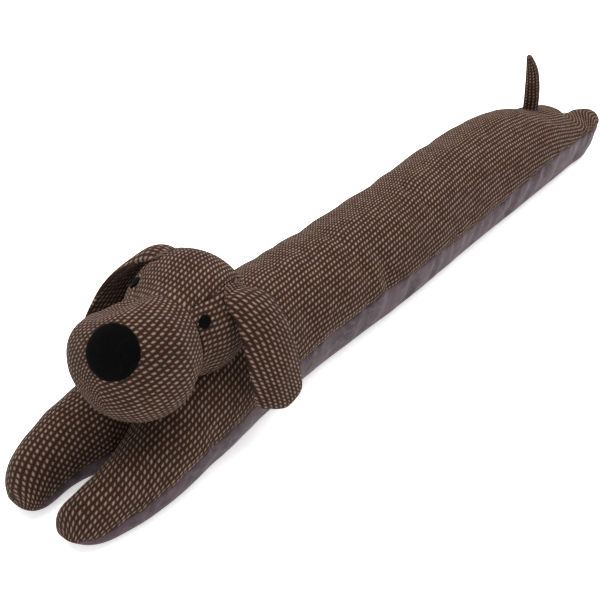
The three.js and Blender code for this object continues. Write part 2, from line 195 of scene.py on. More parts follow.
def arc_length(points: np.ndarray, axis: int) -> np.ndarray:
    """Length along a grid of points from its first row or column, the sum of its straight steps."""
    steps = np.linalg.norm(np.diff(points, axis=axis), axis=-1)
    start = np.zeros_like(np.take(steps, [0], axis=axis))
    return np.cumsum(np.concatenate([start, steps], axis=axis), axis=axis)


@dataclass
class Grid:
    """One rectangular patch of a surface: points in the maker's frame and flat cloth places."""

    points: np.ndarray
    cloth: np.ndarray


def make_mesh(name: str, grids: list[Grid], merge: float = 0.02) -> Piece:
    """Joins grids into one closed mesh, in the row frame, with the cloth's places as its UV map.

    Each cell of a grid becomes one quad from its four neighbouring points. Points closer than
    merge are made one, so poles and seams close, and faces are turned outwards.

    Args:
        name: Name of the piece.
        grids: Patches that together close the surface.
        merge: Distance in millimetres below which points are merged.

    Returns:
        The new object, linked to the scene.
    """
    faces, start = [], 0
    for grid in grids:
        rows, columns = grid.points.shape[:2]
        index = start + np.arange(rows * columns).reshape(rows, columns)
        quads = np.stack([index[:-1, :-1], index[1:, :-1], index[1:, 1:], index[:-1, 1:]], axis=-1)
        faces.append(quads.reshape(-1, 4))
        start += rows * columns
    points = np.concatenate([grid.points.reshape(-1, 3) for grid in grids])
    places = np.concatenate([grid.cloth.reshape(-1, 2) for grid in grids])
    quads = np.concatenate(faces)
    mesh = bpy.data.meshes.new(name)
    mesh.vertices.add(start)
    mesh.vertices.foreach_set("co", to_row(points).astype(np.float32).ravel())
    mesh.loops.add(quads.size)
    mesh.loops.foreach_set("vertex_index", quads.astype(np.int32).ravel())
    mesh.polygons.add(len(quads))
    mesh.polygons.foreach_set("loop_start", (np.arange(len(quads)) * 4).astype(np.int32))
    mesh.update(calc_edges=True)
    layer = mesh.uv_layers.new(name="cloth")
    layer.data.foreach_set("uv", (places[quads.ravel()] * MM).astype(np.float32).ravel())
    work = bmesh.new()
    work.from_mesh(mesh)
    bmesh.ops.remove_doubles(work, verts=work.verts, dist=merge * MM)
    bmesh.ops.dissolve_degenerate(work, edges=work.edges, dist=merge * MM * 0.1)
    bmesh.ops.recalc_face_normals(work, faces=work.faces)
    work.to_mesh(mesh)
    work.free()
    mesh.polygons.foreach_set("use_smooth", np.ones(len(mesh.polygons), dtype=bool))
    mesh.update()
    piece = bpy.data.objects.new(name, mesh)
    bpy.context.scene.collection.objects.link(piece)
    return piece


def read_points(piece: Piece) -> tuple[np.ndarray, np.ndarray]:
    """A piece's points in the maker's frame, and its normals there.

    Args:
        piece: The piece.

    Returns:
        The points in millimetres, and the normals.
    """
    mesh = piece.data
    points = np.empty(len(mesh.vertices) * 3, dtype=np.float32)
    normals = np.empty(len(mesh.vertices) * 3, dtype=np.float32)
    mesh.vertices.foreach_get("co", points)
    mesh.vertex_normals.foreach_get("vector", normals)
    return to_maker(points.reshape(-1, 3).astype(float)), normals.reshape(-1, 3).astype(float)


def write_points(piece: Piece, points: np.ndarray) -> None:
    """Puts points of the maker's frame into a piece."""
    piece.data.vertices.foreach_set("co", to_row(points).astype(np.float32).ravel())
    piece.data.update()


def add_node(
    tree: bpy.types.NodeTree, kind: str, inputs: dict | None = None, **settings: object
) -> bpy.types.Node:
    """Adds a shader node with its settings, and sets or links its inputs.

    Args:
        tree: Node tree to add to.
        kind: Blender's name of the node's type.
        inputs: Socket name or number to its value, or to the output socket linked to it.
        settings: Properties of the node itself.

    Returns:
        The new node.
    """
    node = tree.nodes.new(kind)
    for name, value in settings.items():
        setattr(node, name, value)
    for key, value in (inputs or {}).items():
        if isinstance(value, Socket):
            tree.links.new(value, node.inputs[key])
        else:
            node.inputs[key].default_value = value
    return node


def linear(colour: str) -> tuple[float, float, float, float]:
    """Turns an sRGB hex colour to linear light, with full alpha."""
    parts = [int(colour[i : i + 2], 16) / 255.0 for i in (1, 3, 5)]
    return tuple(c / 12.92 if c <= 0.04045 else ((c + 0.055) / 1.055) ** 2.4 for c in parts) + (1.0,)


@dataclass(frozen=True)
class Recipe:
    """A material and its node tree, with a short method for each kind of node that repeats."""

    material: Material
    tree: bpy.types.NodeTree

    @classmethod
    def start(cls, name: str) -> "Recipe":
        """A new material with an empty tree."""
        material = bpy.data.materials.new(name)
        material.use_nodes = True
        material.node_tree.nodes.clear()
        return cls(material, material.node_tree)

    def place(self) -> Socket:
        """Place on the piece, in metres."""
        return add_node(self.tree, "ShaderNodeTexCoord").outputs["Object"]

    def maths(self, operation: str, *values: Value) -> Socket:
        """Arithmetic on numbers, in the order of the node's inputs."""
        return add_node(self.tree, "ShaderNodeMath", dict(enumerate(values)), operation=operation).outputs[0]

    def vector(self, operation: str, *values: Value) -> Socket:
        """Arithmetic on places, in the order of the node's inputs."""
        inputs = dict(enumerate(values))
        return add_node(self.tree, "ShaderNodeVectorMath", inputs, operation=operation).outputs[0]

    def scaled(self, vector: Value, factor: Value) -> Socket:
        """A place or a colour times one number."""
        inputs = {"Vector": vector, "Scale": factor}
        return add_node(self.tree, "ShaderNodeVectorMath", inputs, operation="SCALE").outputs[0]

    def noise(self, place: Socket, scale: float, detail: float, distortion: float = 0.0) -> Socket:
        """Soft noise with so many clouds to one unit of the place."""
        inputs = {"Vector": place, "Scale": scale, "Detail": detail, "Distortion": distortion}
        return add_node(self.tree, "ShaderNodeTexNoise", inputs).outputs[0]

    def ramp(
        self,
        value: Socket,
        low: float,
        high: float,
        start: float = 0.0,
        end: float = 1.0,
        way: str = "LINEAR",
    ) -> Socket:
        """Maps low to start and high to end, and holds both outside."""
        inputs = {"Value": value, "From Min": low, "From Max": high, "To Min": start, "To Max": end}
        return add_node(self.tree, "ShaderNodeMapRange", inputs, interpolation_type=way).outputs[0]

    def mix(self, share: Socket, first: Value, second: Value) -> Socket:
        """Mix of two colours: the first where share is 0, the second where it is 1."""
        inputs = {0: share, 6: first, 7: second}
        return add_node(self.tree, "ShaderNodeMix", inputs, data_type="RGBA").outputs[2]

    def relief(self, height: Socket, strength: float, depth: float) -> Socket:
        """Bump from a height, with its depth in millimetres."""
        inputs = {"Height": height, "Strength": strength, "Distance": depth * MM}
        return add_node(self.tree, "ShaderNodeBump", inputs).outputs[0]

    def close(self, surface: dict[str, Value]) -> Material:
        """Ends the tree with one surface shader, and hands over the material."""
        shader = add_node(self.tree, "ShaderNodeBsdfPrincipled", surface)
        add_node(self.tree, "ShaderNodeOutputMaterial", {0: shader.outputs[0]})
        return self.material


@dataclass(frozen=True)
class Yarn:
    """The mark that a light yarn leaves in each repeat of the weave: a soft edged ellipse.

    long and short are its half length and half width in repeats, and slant is its turn from the
    cloth's length in degrees. It fades from full strength at the first reach to none at the last.
    """

    long: float
    short: float
    slant: float
    full_reach: float = 0.15
    last_reach: float = 1.35

    def mark(self, recipe: Recipe, place: Socket, swell: Socket) -> Socket:
        """Adds the nodes of the mark.

        Args:
            recipe: The material's nodes.
            place: Place from the middle of the repeat.
            swell: Amount by which this repeat's mark is made smaller.

        Returns:
            The socket with the mark's strength, 1 in its middle and 0 outside.
        """
        inputs = {"Vector": place, "Angle": -math.radians(self.slant)}
        turned = add_node(recipe.tree, "ShaderNodeVectorRotate", inputs, rotation_type="Z_AXIS").outputs[0]
        scaled = recipe.vector("MULTIPLY", turned, (1.0 / self.long, 1.0 / self.short, 0.0))
        length = add_node(recipe.tree, "ShaderNodeVectorMath", {0: scaled}, operation="LENGTH")
        reach = recipe.maths("ADD", length.outputs["Value"], swell)
        return recipe.ramp(reach, self.last_reach, self.full_reach, way="SMOOTHSTEP")


@dataclass(frozen=True)
class Tweed:
    """Wool tweed in a small check, yarn dyed and woven: slanted light dots on a dark ground.

    The eye sees a matt, slightly furry cloth whose dots differ a little in tone from yarn to yarn.
    """

    name: str = "tweed_wool_woven"
    ground: str = "#22150f"
    dot: str = "#7d665b"
    dot_red: str = "#7d5446"
    dot_straw: str = "#7d6b53"
    # Share of the red or straw tone in the most coloured dots. Half of the dots have no red, and
    # half have no straw.
    coloured: float = 0.75
    repeat: float = CHECK_REPEAT
    # Each dot is one slanted yarn, and a fainter one that crosses it as its tail.
    yarn: Yarn = Yarn(0.42, 0.21, 28.0)
    tail: Yarn = Yarn(0.52, 0.13, -38.0)
    tail_strength: float = 0.22
    # How far yarns wander, and how much dots differ in size, in repeats.
    wander: float = 0.34
    unevenness: float = 0.24
    # Threads in one repeat: about 1.2 mm between threads.
    threads: float = 4.0
    # Brightness: its even part, and what the threads' ribs, the fibres and broad clouds add.
    even: float = 0.48
    by_rib: float = 0.10
    by_fibre: float = 0.62
    by_cloud: float = 0.42
    # Height of the ribs and of the fibres, as shares of a dot's, and depth of it all in millimetres.
    rib_height: float = 0.22
    fibre_height: float = 0.5
    depth: float = 0.35
    roughness: float = 0.95

    def marks(self, recipe: Recipe, place: Socket) -> tuple[Socket, Socket]:
        """Adds the dots: their strength, and the tone that each of them has.

        Args:
            recipe: The material's nodes.
            place: Place on the cloth, in repeats.

        Returns:
            The sockets with the strength and the tone.
        """
        centred = recipe.vector("SUBTRACT", recipe.vector("FRACTION", place), (0.5, 0.5, 0.0))
        flat = recipe.vector("MULTIPLY", centred, (1.0, 1.0, 0.0))
        cell = recipe.vector("FLOOR", place)
        chance = add_node(recipe.tree, "ShaderNodeTexWhiteNoise", {"Vector": cell}, noise_dimensions="2D")
        swell = recipe.maths("MULTIPLY_ADD", chance.outputs["Value"], self.unevenness, -self.unevenness / 2)
        tail = recipe.maths("MULTIPLY", self.tail.mark(recipe, flat, swell), self.tail_strength)
        strength = recipe.maths("MAXIMUM", self.yarn.mark(recipe, flat, swell), tail)
        chances = add_node(recipe.tree, "ShaderNodeSeparateColor", {0: chance.outputs["Color"]}).outputs
        tone = linear(self.dot)
        for colour, luck in ((self.dot_red, chances[0]), (self.dot_straw, chances[1])):
            tone = recipe.mix(recipe.ramp(luck, 0.5, 1.0, end=self.coloured), tone, linear(colour))
        return strength, tone

    def build(self) -> Material:
        """Makes the material. It reads the piece's cloth map, in metres."""
        recipe = Recipe.start(self.name)
        cloth = add_node(recipe.tree, "ShaderNodeUVMap", uv_map="cloth").outputs["UV"]
        per_metre = 1.0 / (self.repeat * MM)
        inputs = {"Vector": cloth, "Scale": (per_metre, per_metre, 1.0)}
        repeats = add_node(recipe.tree, "ShaderNodeMapping", inputs).outputs[0]
        # Yarns wander over a few repeats.
        inputs = {"Vector": repeats, "Scale": 0.45, "Detail": 2.0}
        drift = add_node(recipe.tree, "ShaderNodeTexNoise", inputs).outputs["Color"]
        drift = recipe.vector("SUBTRACT", drift, (0.5, 0.5, 0.5))
        place = recipe.vector("ADD", repeats, recipe.scaled(drift, self.wander))
        strength, tone = self.marks(recipe, place)
        colour = recipe.mix(strength, linear(self.ground), tone)
        # Threads: fine ribs both ways.
        waves = recipe.vector("SINE", recipe.scaled(place, 2.0 * math.pi * self.threads))
        axes = add_node(recipe.tree, "ShaderNodeSeparateXYZ", {0: waves}).outputs
        rib = recipe.maths("MULTIPLY", axes[0], axes[1])
        # Broad cloudiness of the piece, and the shade of single yarns and stray fibres.
        cloud = recipe.noise(repeats, 0.09, 2.0)
        fibre = recipe.noise(place, 5.5, 3.0)
        bright = recipe.maths("MULTIPLY_ADD", rib, self.by_rib, self.even)
        bright = recipe.maths("MULTIPLY_ADD", fibre, self.by_fibre, bright)
        bright = recipe.maths("MULTIPLY_ADD", cloud, self.by_cloud, bright)
        height = recipe.maths("MULTIPLY_ADD", rib, self.rib_height, strength)
        height = recipe.maths("MULTIPLY_ADD", fibre, self.fibre_height, height)
        return recipe.close(
            {
                "Base Color": recipe.scaled(colour, bright),
                "Normal": recipe.relief(height, 0.55, self.depth),
                "Roughness": self.roughness,
                "Specular IOR Level": 0.08,
                "Sheen Weight": 0.03,
                "Sheen Roughness": 0.6,
                "Sheen Tint": linear("#d8c0ac"),
            }
        )


@dataclass(frozen=True)
class Velour:
    """Polyester velour, knitted and cut: a short soft nap that shows lighter and darker patches."""

    name: str = "velour_polyester_knitted"
    colour: str = "#423438"
    colour_pressed: str = "#30262a"
    colour_raised: str = "#4e4147"
    # To the metre: nap patches of 25 to 40 mm, streaks of 6 mm, and single tufts of about 1 mm.
    patches: float = 32.0
    streaks: float = 150.0
    tufts: float = 900.0
    depth: float = 0.4
    roughness: float = 0.85

    def build(self) -> Material:
        """Makes the material. It reads the place on the piece, in metres."""
        recipe = Recipe.start(self.name)
        place = recipe.place()
        patch = recipe.noise(place, self.patches, 3.0, 0.6)
        streak = recipe.noise(place, self.streaks, 3.0)
        tuft = recipe.noise(place, self.tufts, 2.0)
        lying = recipe.ramp(patch, 0.38, 0.62, way="SMOOTHSTEP")
        nap = recipe.mix(lying, linear(self.colour_pressed), linear(self.colour))
        nap = recipe.mix(recipe.ramp(streak, 0.45, 0.75), nap, linear(self.colour_raised))
        return recipe.close(
            {
                "Base Color": recipe.scaled(nap, recipe.maths("MULTIPLY_ADD", tuft, 0.5, 0.75)),
                "Normal": recipe.relief(tuft, 0.35, self.depth),
                "Roughness": self.roughness,
                "Specular IOR Level": 0.2,
                "Sheen Weight": 0.14,
                "Sheen Roughness": 0.45,
                "Sheen Tint": linear("#cfc2c9"),
            }
        )


@dataclass(frozen=True)
class Felt:
    """Black pressed wool felt: matt, with a faint bloom where fibres stand up."""

    name: str = "felt_wool_pressed"
    colour: str = "#020202"
    colour_bloom: str = "#050506"
    # To the metre: bloom in patches of about 8 mm, and fibres of about half a millimetre.
    patches: float = 120.0
    fibres: float = 1800.0
    depth: float = 0.3
    roughness: float = 0.95

    def build(self) -> Material:
        """Makes the material. It reads the place on the piece, in metres."""
        recipe = Recipe.start(self.name)
        place = recipe.place()
        bloom = recipe.ramp(recipe.noise(place, self.patches, 4.0, 1.2), 0.5, 0.75)
        fibre = recipe.noise(place, self.fibres, 2.0)
        return recipe.close(
            {
                "Base Color": recipe.mix(bloom, linear(self.colour), linear(self.colour_bloom)),
                "Normal": recipe.relief(fibre, 0.5, self.depth),
                "Roughness": self.roughness,
                "Specular IOR Level": 0.04,
                "Sheen Weight": 0.01,
                "Sheen Roughness": 0.5,
            }
        )


@dataclass(frozen=True)
class PaintedGlowFloor:
    """Matt white cast acrylic with a painted glow: it gives off light of its own, with no lamp below it, so
    shadows on this even pale floor nearly vanish.
    """

    name: str = "acrylic_white_cast_painted_glow"
    colour: str = "#f7f7f7"
    painted_glow: float = 0.55

    def build(self) -> Material:
        """Makes the material: one pale tone with a barely visible mottle, and the painted glow that washes
        out shadows.
        """
        recipe = Recipe.start(self.name)
        mottle = recipe.ramp(recipe.noise(recipe.place(), 2.0, 2.0), 0.0, 1.0, start=0.985)
        return recipe.close(
            {
                "Base Color": recipe.scaled(linear(self.colour)[:3], mottle),
                "Roughness": 1.0,
                "Specular IOR Level": 0.0,
                # Painted glow: the floor emits light itself, which fills in and nearly hides the shadows
                # cast on it.
                "Emission Color": linear(self.colour),
                "Emission Strength": self.painted_glow,
            }
        )


def finish_piece(piece: Piece, material: Material, node: str) -> None:
    """Dresses a piece and ties it to the frame.

    Args:
        piece: The piece.
        material: Its material.
        node: The CAD node that it stands for.
    """
    piece.data.materials.append(material)
    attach(piece, "root")
    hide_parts(node)
    LOG.info("%s: %d faces, replaces %s", piece.name, len(piece.data.polygons), node)


@dataclass(frozen=True)
class Limb:
    """A paw or foot, in millimetres.

    tip is where it ends, rounded the length over which its end is rounded, and middle its own
    middle line. Its inner edge stands off the slit by part at the tip and by bow halfway. crown is
    how far its top rises over the seam.
    """

    tip: float
    rounded: float
    middle: float
    part: float
    bow: float
    crown: float


@dataclass(frozen=True)
class Slit:
    """The slit between two limbs: its end, its line, and the valley that runs on past it."""

    end: float
    line: float
    valley: float


@dataclass(frozen=True)
class Crease:
    """A soft fold across the body: its place, depth and width, and how far round it reaches.

    lean shifts the fold along the body by so many millimetres for each millimetre to the right.
    low and high are the heights between which it shows.
    """

    x: float
    depth: float
    width: float
    lean: float
    low: float
    high: float


@dataclass
class HalfPlan:
    """Plan and heights of one half of the body, at places along it.

    outer and inner are the edges across, centre the line between the halves, seam and crown the
    heights of the seam and of the body's top, and limb_crown a limb's rise over the seam. rounding
    is the share of the width that is left near a tip, and parted how far the limbs have parted.
    """

    outer: np.ndarray
    inner: np.ndarray
    centre: np.ndarray
    seam: np.ndarray
    crown: np.ndarray
    limb_crown: np.ndarray
    rounding: np.ndarray
    parted: np.ndarray

    def body_share(self, y: np.ndarray) -> np.ndarray:
        """Place across the body: 0 at the centre line and 1 at the outer seam."""
        return (self.centre - y) / (self.centre - self.outer)

    def limb_share(self, y: np.ndarray) -> np.ndarray:
        """Place across a limb: -1 and 1 at its two edges."""
        half = np.maximum(np.abs(self.outer - self.inner) / 2, 1e-6)
        return (y - (self.outer + self.inner) / 2) / half

    def top(self, body_share: np.ndarray, limb_share: np.ndarray) -> np.ndarray:
        """Height of the top panel: half an arch over the body's half, a full one over a limb.

        Args:
            body_share: Places across the body.
            limb_share: Places across the limb.

        Returns:
            The heights, mixed by how far the limbs have parted.
        """
        body_rise = (self.crown - self.seam) * arch(body_share)
        limb_rise = self.limb_crown * arch(limb_share) * self.rounding
        return self.seam + blend(body_rise, limb_rise, self.parted) + GAP / 2


def off_seam(top: bool) -> float:
    """How far a panel's edge stands over the seam's height: half the gap, up or down."""
    return GAP / 2 if top else -GAP / 2


@dataclass
class BodyForm:
    """The long stuffed body with its paws and feet, lying on its belly."""

    # Columns: x, middle, half width, height of the seam, height of the crown.
    sections: np.ndarray = field(
        default_factory=lambda: np.array(
            [
                [-450, 4, 54, 16, 46],
                [-425, 5, 60, 18, 63],
                [-390, 4, 69, 28, 83],
                [-350, 1, 70, 37, 94],
                [-300, 0, 68, 43, 100],
                [-250, 2, 65, 45, 107],
                [-180, 3, 61, 49, 107],
                [-100, 0, 60, 54, 104],
                [-20, -1, 61, 53, 104],
                [60, 1, 61, 50, 105],
                [140, 3, 62, 51, 107],
                [220, 2, 62, 57, 105],
                [280, 0, 59, 59, 97],
                [335, -3, 54, 55, 81],
                [385, -5, 49, 48, 66],
                [430, -6, 43, 42, 55],
            ],
            dtype=float,
        )
    )
    paws: dict[Side, Limb] = field(
        default_factory=lambda: {
            Side.LEFT: Limb(-453, 36, -26, 0, 9, 32),
            Side.RIGHT: Limb(-457, 40, 31, 3, 14, 36),
        }
    )
    feet: dict[Side, Limb] = field(
        default_factory=lambda: {
            Side.LEFT: Limb(438, 50, -31, 6, 0, 20),
            Side.RIGHT: Limb(417, 50, 17, 6, 0, 15),
        }
    )
    front_slit: Slit = Slit(-375, -4, 58)
    rear_slit: Slit = Slit(408, -6, 50)
    # Share of the half width that lies flat on the floor, under the body and under a limb.
    body_flat: float = 0.55
    limb_flat: float = 0.35
    # Powers of a tip's rounding: in plan, and of its underside's lift off the floor.
    bluntness: float = 2.5
    tip_lift: float = 2.5
    # Stretch of the body on which something can lie.
    carries: tuple[float, float] = (-450.0, 417.0)
    # Steps: millimetres along the body, rows in a limb, and columns across half a panel.
    step: float = 3.0
    limb_rows: int = 34
    top_columns: int = 44
    under_columns: int = 30
    # The cloth lies askew: its rows climb by so many millimetres for each millimetre along the
    # body. Between two places along it the climb fades by a share.
    askew: float = 0.14
    askew_fades: tuple[float, float] = (-400.0, 300.0)
    askew_faded: float = 0.86
    # A limb's own middle line on the cloth, and where the rows stop climbing, on the right paw:
    # across from the centre line, and along the body.
    limb_line: float = 50.0
    paw_across: tuple[float, float] = (0.0, 60.0)
    paw_along: tuple[float, float] = (-370.0, -290.0)
    # Depth and width of the seam's groove, and of the gathers that run out from it.
    groove: tuple[float, float] = (1.9, 3.2)
    gather: tuple[float, float] = (0.75, 13.0)
    # Places, depths, widths, leans and heights of the folds. On the far side they are shallower.
    creases: tuple[Crease, ...] = (
        Crease(-165, 2.4, 9, 0.35, 62, 112),
        Crease(-132, 1.4, 7, 0.2, 80, 112),
        Crease(-88, 3.4, 8, 0.1, 70, 112),
        Crease(-70, 2.6, 8, -0.1, 55, 95),
        Crease(15, 2.2, 8, 0.15, 78, 112),
        Crease(36, 2.6, 8, 0.1, 82, 112),
        Crease(-60, 2.4, 7, 0.2, 48, 74),
        Crease(160, 1.2, 12, 0.1, 70, 112),
        Crease(-205, 1.6, 10, 0.2, 60, 112),
    )
    # Share of a fold's depth that is left once the stuffing swells. Across the body, between two
    # places, another share of it is lost.
    crease_left: float = 0.8
    crease_lost_far: float = 0.65
    crease_fades: tuple[float, float] = (0.0, 35.0)
    # Pleats of the underside: how deep they draw in, the widths of the broad and the fine ones, the
    # heights over which they start, and how deep it is drawn in all along.
    pleat: float = 2.6
    pleat_widths: tuple[float, float] = (46.0, 21.0)
    pleat_starts: tuple[float, float] = (6.0, 20.0)
    drawn_in: float = 0.5
    # Height and width of the stuffing's broad and small lumps, and how far the head presses down.
    broad_lumps: tuple[float, float] = (1.0, 70.0)
    small_lumps: tuple[float, float] = (0.45, 26.0)
    pressed: float = 0.6
    # Where the head weighs on the body, along it: rising and falling edge.
    head_front: tuple[float, float] = (-400.0, -380.0)
    head_back: tuple[float, float] = (-240.0, -215.0)
    # Distance from a tip over which the cloth starts to move, and heights over which it does.
    tip_still: tuple[float, float] = (0.5, 12.0)
    floor_still: tuple[float, float] = (4.0, 22.0)
    fill: float = 0.75

    def half_plan(self, x: np.ndarray, side: Side) -> HalfPlan:
        """Plan and heights of one half of the body at places along it.

        Args:
            x: Places along the body.
            side: Which half.

        Returns:
            The half's edges, heights, rounding of the tip and how far it parts.
        """
        front = x < 0
        limbs = (self.paws[side], self.feet[side])
        slits = (self.front_slit, self.rear_slit)

        def pick(name: str, source: tuple) -> np.ndarray:
            """A named measure of the front or the rear one of two limbs or slits."""
            return np.where(front, getattr(source[0], name), getattr(source[1], name)).astype(float)

        middle, half, seam, crown = (along(self.sections, x, c) for c in (1, 2, 3, 4))
        tip, end, line = pick("tip", limbs), pick("end", slits), pick("line", slits)
        share = np.clip(1.0 - np.abs(tip - x) / pick("rounded", limbs), 0.0, 1.0)
        rounding = (1.0 - share**self.bluntness) ** (1.0 / self.bluntness)
        past = np.where(front, end - x, x - end)
        parted = smooth(past / pick("valley", slits), -1.0, 0.0)
        opening = np.clip(past / np.abs(tip - end), 0.0, 1.0)
        parting = pick("part", limbs) * opening + pick("bow", limbs) * np.sin(math.pi * opening)
        limb_middle = pick("middle", limbs)
        outer = limb_middle + (middle + side.value * half - limb_middle) * rounding
        centre = blend(middle, line, parted)
        inner_limb = limb_middle + (line + side.value * parting - limb_middle) * rounding
        inner = np.where(past > 0, inner_limb, centre)
        return HalfPlan(outer, inner, centre, seam, crown, pick("crown", limbs), rounding, parted)

    def stations(self, side: Side) -> np.ndarray:
        """Places of the sections of one half: close together at the tips, even between the slits.

        Args:
            side: Which half.

        Returns:
            The places along the body, from the paw's tip to the foot's.
        """
        share = 1.0 - np.cos(np.arange(self.limb_rows) / self.limb_rows * math.pi / 2)
        length = self.rear_slit.end - self.front_slit.end
        shared = self.front_slit.end + np.linspace(0.0, length, round(length / self.step) + 1)
        paw = blend(self.paws[side].tip, self.front_slit.end, share)
        foot = blend(self.feet[side].tip, self.rear_slit.end, share)[::-1]
        return np.concatenate([paw, shared, foot])

    def under_height(self, plan: HalfPlan, body_share: np.ndarray, limb_share: np.ndarray) -> np.ndarray:
        """Height of the underside: flat on the floor over part of its width, then up to the seam.

        Args:
            plan: The half's plan.
            body_share: Places across the body.
            limb_share: Places across the limb.

        Returns:
            The heights, mixed by how far the limbs have parted.
        """
        body_drop = arch(np.maximum(0.0, body_share - self.body_flat) / (1.0 - self.body_flat))
        limb_drop = arch(np.maximum(0.0, np.abs(limb_share) - self.limb_flat) / (1.0 - self.limb_flat))
        limb_drop = limb_drop * plan.rounding**self.tip_lift
        return plan.seam * (1.0 - blend(body_drop, limb_drop, plan.parted)) - GAP / 2

    def skin(self, side: Side, top: bool, columns: int) -> tuple[np.ndarray, np.ndarray]:
        """Skin of one half of a panel, from the outer seam to the centre line or the slit.

        At a share of the way across, the height is the seam's plus an arch: one half arch over
        the whole body, or a full arch over the limb, mixed by how far the limbs have parted. The
        underside is flat on the floor over part of its width and then curves up to the seam.

        Args:
            side: Which half.
            top: The top panel, or else the underside.
            columns: Steps across.

        Returns:
            Points, and the cloth's places there: length along the crown and length across.
        """
        x = self.stations(side)[:, None]
        s = np.linspace(0.0, 1.0, columns + 1)[None, :]
        plan = self.half_plan(x, side)
        body_way = 1.0 - np.cos(s * math.pi / 2)
        limb_way = (1.0 - np.cos(s * math.pi)) / 2
        y = blend(plan.outer, plan.inner, blend(body_way, limb_way, plan.parted))
        body_share = np.clip(plan.body_share(y), 0.0, 1.0)
        limb_share = np.clip(plan.limb_share(y), -1.0, 1.0)
        if top:
            z = plan.top(body_share, limb_share)
        else:
            z = self.under_height(plan, body_share, limb_share)
        at_seam = (s == 0.0) | ((s == 1.0) & (plan.parted >= 1.0))
        z = np.where(at_seam, plan.seam + off_seam(top), z)
        points = np.stack([np.broadcast_to(x, y.shape), y, z], axis=-1)
        return points, self.cloth(points, side, plan.parted[:, 0])

    def height_at(self, x: np.ndarray, y: np.ndarray) -> np.ndarray:
        """Height of the top panel's skin over a place.

        Args:
            x: Places along the body.
            y: Places across it.

        Returns:
            The heights, or a little less than the floor's outside the panel's plan.
        """
        height = np.full(np.shape(x), -1.0)
        first, last = self.carries
        inside = (x > first) & (x < last)
        for side in Side:
            plan = self.half_plan(np.clip(x, first, last), side)
            share = plan.body_share(y)
            over = inside & (share >= 0.0) & (share <= 1.0)
            height = np.where(over, np.maximum(height, plan.top(share, plan.limb_share(y))), height)
        return height

    def cloth(self, points: np.ndarray, side: Side, parted: np.ndarray) -> np.ndarray:
        """Flat places of the cloth: true length along each line of the skin, and across it.

        The length along is counted from the middle of the body. The length across is counted from
        the centre line, and past the slits from the limb's own middle instead. The panel lies
        askew: its rows climb towards the rear, less and less, except on the right paw.

        Args:
            points: Skin points, rows along the body and columns from the outer seam inwards.
            side: Which half.
            parted: How far the limbs have parted at each row.

        Returns:
            The places in millimetres.
        """
        across = arc_length(points, 1)
        whole = across[:, -1:]
        width = blend(whole - across, self.limb_line + whole / 2 - across, parted[:, None])
        length = arc_length(points, 0)
        length = length - length[len(points) // 2][None, :]
        across = side.value * width
        right_paw = smooth(across, *self.paw_across) * (1.0 - smooth(length, *self.paw_along))
        climb = self.askew * (1.0 - self.askew_faded * smooth(length, *self.askew_fades)) * (1.0 - right_paw)
        risen = np.cumsum(climb * np.diff(length, axis=0, prepend=length[:1]), axis=0)
        risen = risen - risen[self.limb_rows][None, :]
        return np.stack([length + climb * across, across - risen], axis=-1)

    def grids(self, top: bool) -> list[Grid]:
        """The skins of both halves of a panel and the level faces that close it at the seam.

        Args:
            top: The top panel, or else the underside.

        Returns:
            The patches.
        """
        columns = self.top_columns if top else self.under_columns
        grids = []
        for side in Side:
            points, cloth = self.skin(side, top, columns)
            plan = self.half_plan(self.stations(side), side)
            outer, inner = points[:, 0], points[:, -1]
            foot_height = np.where(plan.parted >= 1.0, inner[:, 2], plan.seam + off_seam(top))
            foot = np.stack([inner[:, 0], inner[:, 1], foot_height], axis=-1)
            share = np.linspace(0.0, 1.0, 5)[None, :, None]
            closing = blend(outer[:, None], foot[:, None], share)
            grids += [Grid(points, cloth), Grid(closing, closing[..., :2])]
        return grids

    def seam_pull(self, points: np.ndarray) -> np.ndarray:
        """How far the seam draws a point in: a narrow groove whose depth varies as it gathers.

        The groove is a bell curve of the height from the seam, a little uneven along it, and fine
        gathers run out from it for about a finger's width.

        Args:
            points: Points of the skin.

        Returns:
            The depths in millimetres.
        """
        away = np.abs(points[:, 2] - along(self.sections, points[:, 0], 3))
        (deep, wide), (gather_deep, gather_wide) = self.groove, self.gather
        # Squeezed across and upwards, the noise makes gathers that run straight out from the seam.
        gather = soft_noise(points * np.array([1.0, 0.15, 0.15]), 15.0, 11)
        return deep * bell(away, wide) + gather_deep * gather * bell(away, gather_wide)

    def folds(self, points: np.ndarray) -> np.ndarray:
        """How far the folds draw a point in: each is a bell curve across its leaning line.

        Args:
            points: Points of the skin.

        Returns:
            The depths in millimetres.
        """
        total = np.zeros(len(points))
        far = 1.0 - self.crease_lost_far * smooth(points[:, 1], *self.crease_fades)
        fade = 8.0
        for crease in self.creases:
            away = points[:, 0] - crease.x - crease.lean * points[:, 1]
            starts = smooth(points[:, 2], crease.low - fade, crease.low + fade)
            ends = smooth(points[:, 2], crease.high - fade / 2, crease.high + fade)
            depth = self.crease_left * crease.depth
            total += depth * bell(away, crease.width) * (starts * (1.0 - ends)) * far
        return total

    def pleats(self, points: np.ndarray) -> np.ndarray:
        """How far the underside is drawn in below the seam: soft upright pleats of uneven width.

        Args:
            points: Points of the skin.

        Returns:
            The depths in millimetres.
        """
        # Squeezed across and upwards, the noise makes upright pleats.
        steep = points * np.array([1.0, 0.1, 0.12])
        broad, fine = self.pleat_widths
        wave = soft_noise(steep, broad, 41) + 0.5 * soft_noise(steep, fine, 42)
        below = smooth(points[:, 2], *self.pleat_starts)
        return self.pleat * np.maximum(wave, 0.0) * below + self.drawn_in * below

